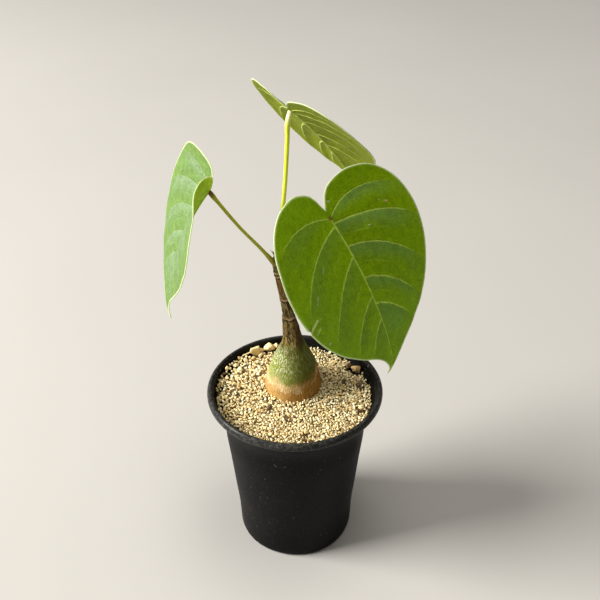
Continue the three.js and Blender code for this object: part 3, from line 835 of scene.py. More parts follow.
@dataclass(frozen=True)
class MixFinish:
    """Dark, crumbly potting mix."""

    name: str = "potting mix"
    crumbs: tuple[tuple[float, Colour], ...] = (
        (0.3, (0.03, 0.018, 0.01)), (0.55, (0.11, 0.07, 0.04)), (0.75, (0.30, 0.21, 0.12)),
    )

    def build(self) -> Material:
        """Make the material.

        Returns:
            The material.
        """
        desk = NodeDesk(self.name)
        place = desk.place()
        crumb = desk.noise(place, 420.0, 5.0, 0.7)
        normal = desk.bump(desk.plus(desk.times(crumb, 0.9), desk.times(desk.cells(place, 350.0), 0.7)))
        return desk.finish(desk.surface(desk.ramp(crumb, self.crumbs), 0.95, normal))


@dataclass(frozen=True)
class BudFinish:
    """Soft green bud scales that brown towards their points."""

    name: str = "bud scales"
    green: Colour = (0.30, 0.34, 0.10)
    brown: Colour = (0.24, 0.11, 0.05)
    pale: Colour = (0.62, 0.55, 0.36)

    def build(self) -> Material:
        """Make the material.

        Returns:
            The material, which reads the tip's number age.
        """
        desk = NodeDesk(self.name)
        streak = desk.fibres(desk.place(), (2600, 2600, 500), 3.0)
        colour = desk.mix(desk.attribute("age"), self.green, self.brown)
        colour = desk.glaze(colour, self.pale, 0.4, desk.remap(streak, 0.4, 0.7))
        return desk.finish(desk.surface(colour, 0.6, desk.bump(desk.times(streak, 0.06))))


def into_scene(bm: Mesh, name: str, unit: float = MM) -> Thing:
    """Make an object of a mesh.

    Args:
        bm: The mesh, which is freed.
        name: The object's name.
        unit: How many metres one of the mesh's units is.

    Returns:
        The object, at the origin and in metres.
    """
    bmesh.ops.scale(bm, vec=(unit, unit, unit), verts=bm.verts)
    mesh = bpy.data.meshes.new(name)
    bm.to_mesh(mesh)
    bm.free()
    thing = bpy.data.objects.new(name, mesh)
    bpy.context.scene.collection.objects.link(thing)
    return thing


def finish_piece(bm: Mesh, name: str, material: Material, stands_for: str) -> Thing:
    """Turn a mesh in millimetres into a piece of the part.

    Args:
        bm: The mesh, which is freed.
        name: The piece's name.
        material: Its finish.
        stands_for: The CAD node that it replaces.

    Returns:
        The piece, at the origin and in metres.
    """
    piece = into_scene(bm, name)
    piece.data.materials.append(material)
    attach(piece, "root")
    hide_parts(stands_for)
    LOG.info("%s: %d faces", name, len(piece.data.polygons))
    return piece


def set_smooth(bm: Mesh) -> None:
    """Shade every face smooth."""
    for face in bm.faces:
        face.smooth = True


def grid_sheet(bm: Mesh, places: Array, charts: dict[str, Array]) -> list[Corner]:
    """Add a sheet whose corners lie at given places.

    Args:
        bm: The mesh that gets it.
        places: An array of columns, rows and three coordinates.
        charts: For each UV map, an array of columns, rows and two numbers.

    Returns:
        The sheet's vertices.
    """
    columns, rows = places.shape[:2]
    made = bmesh.ops.create_grid(bm, x_segments=columns - 1, y_segments=rows - 1, size=0.5)
    cells: dict[Corner, tuple[int, int]] = {}
    for vert in made["verts"]:
        cell = (round((vert.co.x + 0.5) * (columns - 1)), round((vert.co.y + 0.5) * (rows - 1)))
        cells[vert] = cell
        vert.co = places[cell]
    layers = {name: bm.loops.layers.uv[name] for name in charts}
    faces = {face for vert in made["verts"] for face in vert.link_faces}
    for face in faces:
        for loop in face.loops:
            for name, layer in layers.items():
                loop[layer].uv = charts[name][cells[loop.vert]]
    return made["verts"]


def carry_charts(faces: Iterable[bmesh.types.BMFace], layers: Sequence[bmesh.types.BMLayerItem]) -> None:
    """Give new faces the UV coordinates that the older faces have at the same corners.

    Args:
        faces: The new faces.
        layers: The UV maps.
    """
    fresh = set(faces)
    for face in fresh:
        for loop in face.loops:
            twin = next(other for other in loop.vert.link_loops if other.face not in fresh)
            for layer in layers:
                loop[layer].uv = twin[layer].uv


def full_turn(bm: Mesh, section: Sequence[Range], steps: int, closed: bool = False) -> None:
    """Spin a section right round the upright axis.

    Args:
        bm: The mesh that gets it.
        section: Pairs of radius and height.
        steps: How many faces go round.
        closed: Whether the section's last point joins its first.
    """
    verts = [bm.verts.new((radius, 0, height)) for radius, height in section]
    ends = verts[1:] + verts[:1] if closed else verts[1:]
    edges = [bm.edges.new(pair) for pair in zip(verts, ends)]
    bmesh.ops.spin(
        bm, geom=verts + edges, axis=(0, 0, 1), cent=(0, 0, 0), angle=FULL_TURN, steps=steps, use_merge=True
    )
    bmesh.ops.remove_doubles(bm, verts=bm.verts, dist=1e-3)


def tube(
    bm: Mesh, middles: Array, radii: Array,
    ways: tuple[Array, Array] = (np.array([[1.0, 0.0, 0.0]]), np.array([[0.0, 1.0, 0.0]])),
    chart: str | None = None,
) -> list[Corner]:
    """Add a closed tube.

    Args:
        bm: The mesh that gets it.
        middles: The middle of each ring.
        radii: An array of rings and sides.
        ways: Each ring's directions at angle 0 and at a right angle to that, level unless given.
        chart: A UV map that takes the share along and the share round.

    Returns:
        The tube's vertices, its ends closed.
    """
    rings, sides = radii.shape
    angle = np.linspace(0, FULL_TURN, sides + 1)
    across, beside = ways
    wrapped = np.concatenate([radii, radii[:, :1]], axis=1)
    places = (
        middles[:, None, :]
        + wrapped[..., None] * np.cos(angle)[None, :, None] * across[:, None, :]
        + wrapped[..., None] * np.sin(angle)[None, :, None] * beside[:, None, :]
    )
    charts = {}
    if chart:
        run, turn = np.meshgrid(np.linspace(0, 1, rings), angle / FULL_TURN, indexing="ij")
        charts[chart] = np.stack([run, turn], axis=2)
    verts = grid_sheet(bm, places, charts)
    bmesh.ops.remove_doubles(bm, verts=verts, dist=1e-4)
    verts = [vert for vert in verts if vert.is_valid]
    edges = {edge for vert in verts for edge in vert.link_edges if edge.is_boundary}
    caps = bmesh.ops.holes_fill(bm, edges=list(edges), sides=0)["faces"]
    bmesh.ops.recalc_face_normals(bm, faces=list({face for vert in verts for face in vert.link_faces}))
    carry_charts(caps, [bm.loops.layers.uv[name] for name in charts])
    return verts


@dataclass(frozen=True)
class HalfForm:
    """How one half of a blade stands off its midrib: width as a share, angles in degrees."""

    width: float
    fold: float
    fold_change: float
    curl: float


@dataclass(frozen=True)
class Vein:
    """A side vein: its place on the midrib, the point it bows towards and the margin knot where it ends."""

    leaves: float
    bow: Range
    ends: float


@dataclass(frozen=True)
class BladeOutline:
    """The flat blade in shares of its length, with its veins."""

    margin: tuple[Range, ...] = (
        (0, 0), (-0.048, 0), (-0.144, 0.056), (-0.19, 0.16), (-0.195, 0.248), (-0.162, 0.353),
        (-0.061, 0.442), (0.104, 0.494), (0.284, 0.486), (0.467, 0.423), (0.636, 0.322), (0.764, 0.194),
        (0.847, 0.083), (0.907, 0.032), (0.955, 0.008), (1, 0),
    )
    sinus: Vein = Vein(0, (-0.024, 0), 1)
    tip: Vein = Vein(1, (1, 0), 15)
    left: tuple[Vein, ...] = (
        Vein(0, (-0.155, 0.228), 6.7),
        Vein(0.03, (0.08, 0.36), 7.85),
        Vein(0.165, (0.21, 0.245), 9.1),
        Vein(0.35, (0.4, 0.18), 10.1),
        Vein(0.505, (0.553, 0.13), 10.8),
    )
    right: tuple[Vein, ...] = (
        Vein(0, (-0.11, 0.27), 6.65),
        Vein(0.045, (0.1, 0.36), 8.75),
        Vein(0.225, (0.32, 0.235), 9.95),
        Vein(0.46, (0.55, 0.18), 10.97),
        Vein(0.6, (0.67, 0.08), 11.6),
    )

    def last_vein(self) -> int:
        """Give the number of the last side vein, with the sinus as 0 and the tip as the next number."""
        return len(self.left)

    def stations(self, side: Side, mirrored: bool) -> list[Vein]:
        """List the lines of a half, from the sinus over its veins to the tip."""
        first = (side is Side.LEFT) != mirrored
        return [self.sinus, *(self.left if first else self.right), self.tip]

    def margin_at(self, knot: Array) -> Array:
        """Read the margin at numbered knots and between them.

        Args:
            knot: Knot numbers.

        Returns:
            The places, in shares of the length.
        """
        points = np.array(self.margin, float)
        last = len(points) - 1
        index = np.clip(knot.astype(int), 0, last - 1)
        share = (knot - index)[..., None]
        before, start = points[np.maximum(index - 1, 0)], points[index]
        end, after = points[index + 1], points[np.minimum(index + 2, last)]
        return cubic(start, end, (end - before) / 2, (after - start) / 2, share)


@dataclass(frozen=True)
class Nick:
    """A healed dent in a margin: the half it is on, its knot, its width in knots and its depth."""

    side: Side
    knot: float
    width: float
    depth: float


@dataclass(frozen=True)
class Leaf:
    """One heart-shaped leaf blade, in the frame and the words of the CAD part: millimetres and degrees."""

    name: str
    joint: Place
    length: float
    heading: float
    droop: float
    roll: float
    bend: float
    bend_back: float
    side_bend: float
    twist: float
    tip_curl: float
    tip_side: float
    left: HalfForm
    right: HalfForm
    mirrored: bool
    finish: LeafFinish
    seed: int
    nick: Nick | None = None
    outline: BladeOutline = BladeOutline()
    thickness: float = 0.46
    rim: float = 0.16
    rim_round: float = 0.32
    groove: float = 0.16
    puff: float = 0.45
    rib_height: float = 0.34
    rib_width: float = 0.55
    midrib_height: float = 0.6
    midrib_width: float = 0.65
    midrib_blend: float = 0.9
    ripple: float = 0.12
    ripple_length: float = 9.0
    tip_curl_from: float = 0.8
    tip_side_from: float = 0.75
    spine_step: float = 0.0025
    small_step: float = 1e-3
    vein_flanks: tuple[float, ...] = (
        0, 0.025, 0.06, 0.11, 0.18, 0.27, 0.38, 0.5, 0.62, 0.73, 0.82, 0.89, 0.94, 0.975,
    )
    lobe_columns: int = 24
    row_shares: tuple[float, ...] = (
        0, 0.008, 0.018, 0.032, 0.05, 0.075, 0.105, 0.14, *(0.175 + 0.035 * row for row in range(20)),
        0.87, 0.9, 0.93, 0.955, 0.975, 0.988, 0.995, 1,
    )

    def turn(self) -> Array:
        """Give the turn from the leaf's own frame to the part's."""
        angles = (math.radians(self.roll), math.radians(self.droop), math.radians(self.heading))
        return np.array(Euler(angles, "XYZ").to_matrix())

    def place(self, points: Array) -> Array:
        """Carry points from the leaf's own frame to the part's."""
        return points @ self.turn().T + np.array(self.joint)

    def heading_at(self, share: Array) -> tuple[Array, Array]:
        """Give the midrib's direction and its side angle at shares of its length.

        Args:
            share: The shares.

        Returns:
            The directions, and the angles in radians.
        """
        starts = (self.tip_curl_from, self.tip_side_from)
        drop, swing = (np.maximum((share - start) / (1 - start), 0) ** 2 for start in starts)
        down = np.radians(np.where(share >= 0, self.bend, self.bend_back) * share + self.tip_curl * drop)
        aside = np.radians(self.side_bend * share + self.tip_side * swing)
        along = np.stack([np.cos(down) * np.cos(aside), np.cos(down) * np.sin(aside), -np.sin(down)], axis=-1)
        return along, aside

    def midrib(self, share: Array) -> tuple[Array, Array, Array]:
        """Give the midrib's place, left and up directions.

        Args:
            share: Shares of the leaf's length from its joint.

        Returns:
            Place in shares of the length, and two directions.
        """
        step = self.spine_step
        forward = np.arange(0, 1.1, step)
        backward = np.arange(0, 0.35, step)
        ahead = np.cumsum(self.heading_at(forward + step / 2)[0] * step, axis=0)
        behind = np.cumsum(self.heading_at(-backward - step / 2)[0] * -step, axis=0)
        keys = np.concatenate([-(backward[::-1] + step), [0], forward + step])
        table = np.concatenate([behind[::-1], np.zeros((1, 3)), ahead])
        spine = np.stack([np.interp(share, keys, table[:, axis]) for axis in range(3)], axis=-1)
        along, aside = self.heading_at(share)
        flat_left = np.stack([-np.sin(aside), np.cos(aside), np.zeros_like(aside)], axis=-1)
        flat_up = np.cross(along, flat_left)
        twist = np.radians(self.twist * share)[..., None]
        left = flat_left * np.cos(twist) + flat_up * np.sin(twist)
        up = flat_up * np.cos(twist) - flat_left * np.sin(twist)
        return spine, left, up

    def bent(self, share: Array, reach: Array, side: Side) -> Array:
        """Give points of the bent upper face, in millimetres and the leaf's own frame.

        Args:
            share: Place along the midrib.
            reach: Distance off the midrib, in shares of the length.
            side: The half.

        Returns:
            The points.
        """
        half = self.left if side is Side.LEFT else self.right
        spine, left, up = self.midrib(share)
        out = reach * half.width
        fold = np.radians(half.fold + half.fold_change * np.clip(share, -0.3, 1))
        curl = math.radians(half.curl) or 1e-6
        across = (np.sin(fold + curl * out) - np.sin(fold)) / curl
        lift = (np.cos(fold) - np.cos(fold + curl * out)) / curl
        return (spine + side.value * across[..., None] * left + lift[..., None] * up) * self.length

    def facing(self, share: Array, reach: Array, side: Side) -> Array:
        """Give the direction that the upper face looks in, shared by both halves at the midrib.

        Args:
            share: Place along the midrib.
            reach: Distance off it.
            side: The half.

        Returns:
            The directions.
        """
        step = self.small_step
        facings = {}
        for half in Side:
            start = self.bent(share, reach, half)
            ahead = self.bent(share + step, reach, half) - start
            outward = (self.bent(share, reach + step, half) - start) * half.value
            normal = np.cross(ahead, outward)
            facings[half] = normal / np.linalg.norm(normal, axis=-1, keepdims=True)
        other = facings[Side.RIGHT if side is Side.LEFT else Side.LEFT]
        share_other = 0.5 * (1 - smooth_step(reach * self.length, 0.0, self.midrib_blend))[..., None]
        blend = facings[side] * (1 - share_other) + other * share_other
        return blend / np.linalg.norm(blend, axis=-1, keepdims=True)

    def flat_points(self, side: Side, line: Array, along: Array) -> Array:
        """Give the flat blade's points on numbered lines.

        Args:
            side: The half.
            line: Line numbers: 0 in the sinus, whole numbers on veins, the last one at the tip.
            along: Shares along each line from the midrib to the margin.

        Returns:
            Place along the midrib and distance off it, in shares of the length.
        """
        stations = self.outline.stations(side, self.mirrored)
        table = np.array([(vein.leaves, *vein.bow, vein.ends) for vein in stations])
        leaves, bow_x, bow_y, knot = (np.interp(line, np.arange(len(table)), column) for column in table.T)
        end = self.outline.margin_at(knot)
        first, second, third = (1 - along) ** 2, 2 * along * (1 - along), along**2
        share = first * leaves + second * bow_x + third * end[..., 0]
        reach = np.maximum(second * bow_y + third * end[..., 1], 0)
        if self.nick and self.nick.side is side:
            dent = np.exp(-(((knot - self.nick.knot) / self.nick.width) ** 2)) * self.nick.depth
            reach = reach * (1 - dent * along**6)
        return np.stack([share, reach], axis=-1)

    def columns(self, side: Side) -> Array:
        """List a half's line numbers, which meet the other half's lines at the midrib.

        Args:
            side: The half.

        Returns:
            The numbers, rising.
        """
        spots: set[float] = {1.0}
        for half in Side:
            leaves = [vein.leaves for vein in self.outline.stations(half, self.mirrored)][1:]
            for start, end in zip(leaves, leaves[1:]):
                spots.update(round(start + (end - start) * flank, 6) for flank in self.vein_flanks)
        own = [vein.leaves for vein in self.outline.stations(side, self.mirrored)][1:]
        past_lobe = np.interp(sorted(spots), own, np.arange(1, len(own) + 1))
        lobe = np.sin(np.linspace(0, 1, self.lobe_columns, endpoint=False) * math.pi / 2)
        return np.concatenate([lobe, past_lobe])

    def spread(self, side: Side, line: Array, along: Array) -> Array:
        """Give the millimetres from one line to the next, square to the lines.

        Args:
            side: The half.
            line: Line numbers.
            along: Shares along each line.

        Returns:
            The distances.
        """
        step, last = self.small_step, self.outline.last_vein() + 1
        before, after = np.maximum(line - step, 0), np.minimum(line + step, last)
        beside = self.flat_points(side, after, along) - self.flat_points(side, before, along)
        beside = beside / (after - before)[..., None]
        low, high = np.maximum(along - step, 0), np.minimum(along + step, 1)
        onward = self.flat_points(side, line, high) - self.flat_points(side, line, low)
        onward = onward / np.maximum(np.linalg.norm(onward, axis=-1), 1e-9)[..., None]
        return np.abs(onward[..., 0] * beside[..., 1] - onward[..., 1] * beside[..., 0]) * self.length

    def inset(self, flat: Array) -> Array:
        """Give the millimetres from flat points to the margin.

        Args:
            flat: The points, in shares of the length.

        Returns:
            The distances.
        """
        knots = np.linspace(1, len(self.outline.margin) - 1, 500)
        margin = self.outline.margin_at(knots)
        gap = np.linalg.norm(flat[..., None, :] - margin, axis=-1)
        return gap.min(axis=-1) * self.length

    def relief(
        self, line: Array, along: Array, flat: Array, spread: Array, inset: Array
    ) -> tuple[Array, Array]:
        """Work out how far the faces stand off the bent blade.

        Args:
            line: Line numbers.
            along: Shares along each line.
            flat: Places on the flat blade in millimetres, the left half positive.
            spread: Millimetres from line to line.
            inset: Millimetres to the margin.

        Returns:
            The heights of the upper and of the lower face.
        """
        last = self.outline.last_vein()
        share, off_rib = flat[..., 0] / self.length, np.abs(flat[..., 1])
        off_vein = np.abs(line - np.clip(np.round(line), 1, last)) * spread
        ridge = np.exp(-((off_vein / self.rib_width) ** 2)) * (1 - 0.8 * along)
        ridge = ridge * smooth_step(1 - along, 0.03, 0.25) * smooth_step(off_rib, 0.0, 0.8)
        fade = (1 - 0.75 * np.clip(share, 0, 1)) * smooth_step(1 - share, 0.0, 0.12)
        spine = np.exp(-((off_rib / self.midrib_width) ** 2)) * fade * smooth_step(share, -0.05, 0.01)
        between = np.where(line > 1, np.sin(math.pi * (line % 1)) ** 2, 0)
        swell = self.puff * between * np.sin(math.pi * along) * np.where(line > last, 0.3, 1.0)
        waves = self.ripple * rumple(flat, self.ripple_length, self.seed)
        swell = swell + waves * smooth_step(off_rib, 0.5, 6.0)
        rounding = 0.5 * (self.thickness - self.rim) * (1 - np.clip(inset / self.rim_round, 0, 1)) ** 2
        upper = swell - self.groove * np.maximum(ridge, 0.6 * spine) - rounding
        lower = swell - self.thickness - self.rib_height * ridge - self.midrib_height * spine + rounding
        return upper, np.minimum(lower, upper - self.rim)

    def half_sheets(self, bm: Mesh, side: Side) -> list[Corner]:
        """Add the upper and lower face of a half.

        Args:
            bm: The mesh that gets them.
            side: The half.

        Returns:
            The vertices of the lower face.
        """
        line, along = np.meshgrid(self.columns(side), np.array(self.row_shares), indexing="ij")
        flat = self.flat_points(side, line, along)
        share, reach = flat[..., 0], flat[..., 1]
        spread = self.spread(side, line, along)
        inset = self.inset(flat)
        signed = np.stack([share, side.value * reach], axis=-1) * self.length
        charts = {
            "Lines": np.stack([line, along], axis=-1),
            "Flat": signed,
            "Reach": np.stack([spread, inset], axis=-1),
        }
        base = self.bent(share, reach, side)
        normal = self.facing(share, reach, side)
        heights = self.relief(line, along, signed, spread, inset)
        upper, lower = (self.place(base + normal * height[..., None]) for height in heights)
        grid_sheet(bm, upper, charts)
        return grid_sheet(bm, lower, charts)

    def build(self) -> Thing:
        """Make the blade.

        Returns:
            The piece.
        """
        bm = bmesh.new()
        charts = [bm.loops.layers.uv.new(name) for name in ("Lines", "Flat", "Reach")]
        under = bm.verts.layers.float.new("under")
        for side in Side:
            for vert in self.half_sheets(bm, side):
                vert[under] = 1.0
        bmesh.ops.remove_doubles(bm, verts=bm.verts, dist=1e-3)
        sheets = set(bm.faces)
        bmesh.ops.bridge_loops(bm, edges=[edge for edge in bm.edges if edge.is_boundary])
        carry_charts([face for face in bm.faces if face not in sheets], charts)
        bmesh.ops.recalc_face_normals(bm, faces=bm.faces)
        set_smooth(bm)
        return finish_piece(bm, f"blade_{self.name}", self.finish.build(), f"leaf_{self.name}")


@dataclass(frozen=True)
class Stalk:
    """A leafstalk from inside the stem to the underside of its blade."""

    name: str
    leaf: Leaf
    path: tuple[Place, ...]
    radii: tuple[float, float, float]
    finish: StalkFinish
    joint_drop: float = 0.5
    rings: int = 90
    sides: int = 28
    channel_depth: float = 0.05
    channel_width: float = 0.5

    def curve(self) -> Array:
        """Give evenly spaced points along the stalk's middle.

        Returns:
            The points, from the stem to the blade.
        """
        end = self.leaf.place(np.array([0.0, 0.0, -self.joint_drop]))
        knots = np.array([*self.path, end])
        knots = np.concatenate([[2 * knots[0] - knots[1]], knots, [2 * knots[-1] - knots[-2]]])
        share = np.linspace(0, 1, 60)[:, None]
        gaps = np.linalg.norm(np.diff(knots, axis=0), axis=1) ** 0.5
        points = []
        for index, (before, start, stop, after) in enumerate(zip(knots, knots[1:], knots[2:], knots[3:])):
            first, middle, last = gaps[index : index + 3]
            leave = (start - before) / first - (stop - before) / (first + middle) + (stop - start) / middle
            arrive = (stop - start) / middle - (after - start) / (middle + last) + (after - stop) / last
            points.append(cubic(start, stop, leave * middle, arrive * middle, share))
        line = np.concatenate(points)
        run = np.concatenate([[0], np.cumsum(np.linalg.norm(np.diff(line, axis=0), axis=1))])
        even = np.linspace(0, run[-1], self.rings)
        return np.stack([np.interp(even, run, line[:, axis]) for axis in range(3)], axis=1)

    def build(self) -> Thing:
        """Make the stalk.

        Returns:
            The piece.
        """
        middles = self.curve()
        ahead = np.gradient(middles, axis=0)
        ahead /= np.linalg.norm(ahead, axis=1, keepdims=True)
        ahead[-1] = self.leaf.turn() @ np.array([0.0, 0.0, 1.0])
        across = np.zeros_like(ahead)
        way = np.array([0.0, 1.0, 0.0])
        for index, direction in enumerate(ahead):
            way = way - direction * (way @ direction)
            way = way / np.linalg.norm(way)
            across[index] = way
        at_stem, half_way, at_blade = self.radii
        knots = [(0, at_stem * 1.12), (0.08, at_stem), (0.22, half_way), (0.84, half_way), (0.93, at_blade)]
        knots += [(0.975, at_blade), (1, at_blade * 0.86)]
        radius = hermite(knots, np.linspace(0, 1, self.rings))
        angle = np.linspace(0, FULL_TURN, self.sides, endpoint=False)
        channel = 1 - self.channel_depth * np.exp(-(((angle - math.pi) / self.channel_width) ** 2))
        bm = bmesh.new()
        bm.loops.layers.uv.new("Run")
        tube(bm, middles, radius[:, None] * channel[None, :], (across, np.cross(ahead, across)), "Run")
        set_smooth(bm)
        finish, node = self.finish.build(), f"leafstalk_{self.name}"
        return finish_piece(bm, f"stalk_{self.name}", finish, node)


@dataclass(frozen=True)
class Caudex:
    """The swollen base, its taproot and the woody stem, grown in one: middles, and radii at heights."""

    middle: tuple[Place, ...] = (
        (-1, 7, 24), (-1, 7, 86), (-0.7, 7, 108), (-0.9, 7, 119), (-2.45, 7, 131), (-4.2, 7, 140.5),
        (-6.2, 6.8, 152), (-8.2, 6.6, 164), (-8.5, 6.5, 170),
    )
    radius: tuple[Range, ...] = (
        (24, 0.8), (32, 1.8), (44, 3.2), (58, 5.4), (68, 8.6), (76, 11.8), (82, 13.8), (89, 14.65),
        (94.5, 14.2), (100.5, 12.7), (105.5, 11.15), (110.5, 9.1), (115, 6.9), (118.5, 5.3), (122.5, 4.3),
        (127, 3.9), (131, 3.4), (135, 2.75), (140, 2.4), (152, 2.35), (163, 2.15), (166.2, 1.9), (167.6, 1.2),
    )
    sides: int = 144
    low_step: float = 2.0
    high_step: float = 0.45
    bare_from: float = 82.0
    ribbed_from: float = 112.0
    rib_share: float = 0.05
    furrow: float = 0.20
    lump: float = 0.16
    scar_width: float = 0.6
    scar_height: float = 0.30
    crack_depth: float = 0.35
    finish: BarkFinish = BarkFinish()

    def centre(self, height: Array) -> Array:
        """Give the middle of the stem at heights."""
        x, y = (hermite([(place[2], place[axis]) for place in self.middle], height) for axis in (0, 1))
        return np.stack([x, y, height], axis=-1)

    def radius_at(self, height: Array) -> Array:
        """Give the plain radius at heights."""
        return hermite(self.radius, height)

    def widest(self) -> float:
        """Give the radius of the swollen base where it is widest."""
        return max(radius for _, radius in self.radius)

    def skin(self, z: Array, turn: Array) -> Array:
        """Give the radius with its ribs, furrows, lumps and scars at heights and angles.

        Args:
            z: The heights.
            turn: The angles in radians.

        Returns:
            The radii.
        """
        base = self.radius_at(z)
        x, y = base * np.cos(turn), base * np.sin(turn)
        bark = smooth_step(z, self.ribbed_from, self.ribbed_from + 10)
        wander = 0.35 * np.sin(0.13 * z) + 0.2 * np.sin(0.31 * z + 1)
        ribs = np.sin(7 * (turn + 0.12 * wander) + 0.09 * z) + 0.5 * np.sin(3 * turn - 0.16 * z)
        furrows = rumple(np.stack([x * 3.2, y * 3.2, z * 0.55], axis=-1), 3.4, 5)
        lumps = rumple(np.stack([x, y, z * 0.7], axis=-1), 6.5, 8)
        radius = base * (1 + self.rib_share * bark * ribs)
        radius = radius + bark * (self.furrow * furrows) * np.minimum(base / 3, 1)
        radius = radius + (1 - bark) * self.lump * lumps * smooth_step(z, 84, 90)
        scars = sum(np.exp(-(((z - scar / MM) / self.scar_width) ** 2)) for scar in self.finish.scars)
        return radius + self.scar_height * scars * (0.7 + 0.3 * np.sin(turn * 2 + 1))

    def build(self) -> Thing:
        """Make the caudex.

        Returns:
            The piece.
        """
        foot, top = self.radius[0][0], self.radius[-1][0]
        buried = np.arange(foot, self.bare_from, self.low_step)
        height = np.concatenate([buried, np.arange(self.bare_from, top, self.high_step), [top]])
        angle = np.linspace(0, FULL_TURN, self.sides, endpoint=False)
        z, turn = np.meshgrid(height, angle, indexing="ij")
        bm = bmesh.new()
        crack = bm.verts.layers.float.new("crack")
        for vert in tube(bm, self.centre(height), self.skin(z, turn)):
            middle = self.centre(np.array(vert.co.z))
            out = math.hypot(vert.co.x - middle[0], vert.co.y - middle[1])
            short = float(self.radius_at(np.array(vert.co.z))) - out
            if vert.co.z > self.ribbed_from:
                vert[crack] = max(0.0, min(1.0, short / self.crack_depth))
        set_smooth(bm)
        return finish_piece(bm, "caudex_skin", self.finish.build(), "caudex")


@dataclass(frozen=True)
class Scale:
    """A thin pointed scale of the tip: foot, lean, length, width and age from 0 green to 1 brown."""

    foot: Place
    lean: Range
    length: float
    width: float
    age: float

    def middles(self, share: Array) -> Array:
        """Give its middle line from its foot, at shares of its length.

        Args:
            share: The shares.

        Returns:
            The points.
        """
        bow = share**1.6
        x, y = (start + lean * self.length * bow for start, lean in zip(self.foot, self.lean))
        return np.stack([x, y, self.foot[2] + self.length * share], axis=1)


@dataclass(frozen=True)
class GrowingTip:
    """The bud between the stalks, with the stipules round it."""

    foot: Place = (-8.4, 6.4, 167.2)
    scales: tuple[Scale, ...] = (
        Scale((0, 0, 0), (0.02, -0.02), 7.6, 1.15, 0.15),
        Scale((0.25, -0.2, 0), (0.12, -0.06), 6.4, 0.95, 0.3),
        Scale((-0.3, 0.2, 0), (-0.08, 0.10), 5.6, 0.9, 0.35),
        Scale((-0.6, 0.0, 0.6), (-0.66, 0.02), 3.6, 0.5, 0.85),
        Scale((0.3, -0.4, 0.5), (0.24, -0.34), 4.4, 0.5, 0.8),
        Scale((0.2, 0.4, 0.4), (0.18, 0.30), 3.8, 0.5, 0.9),
    )
    taper: tuple[Range, ...] = ((0, 0.8), (0.25, 1), (0.6, 0.62), (0.9, 0.16), (1, 0.03))
    rings: int = 18
    sides: int = 14
    brown_end: float = 2.5
    finish: BudFinish = BudFinish()

    def build(self) -> Thing:
        """Make the tip.

        Returns:
            The piece.
        """
        bm = bmesh.new()
        age = bm.verts.layers.float.new("age")
        share = np.linspace(0, 1, self.rings)
        ridged = 1 + 0.06 * np.cos(4 * np.linspace(0, FULL_TURN, self.sides, endpoint=False))
        for scale in self.scales:
            radius = scale.width * hermite(self.taper, share)
            middles = np.array(self.foot) + scale.middles(share)
            top = self.foot[2] + scale.length
            for vert in tube(bm, middles, radius[:, None] * ridged[None, :]):
                past = (vert.co.z - top + self.brown_end) / self.brown_end
                vert[age] = min(1.0, scale.age + 0.5 * max(0.0, past))
        set_smooth(bm)
        return finish_piece(bm, "growing_bud", self.finish.build(), "growing_tip")


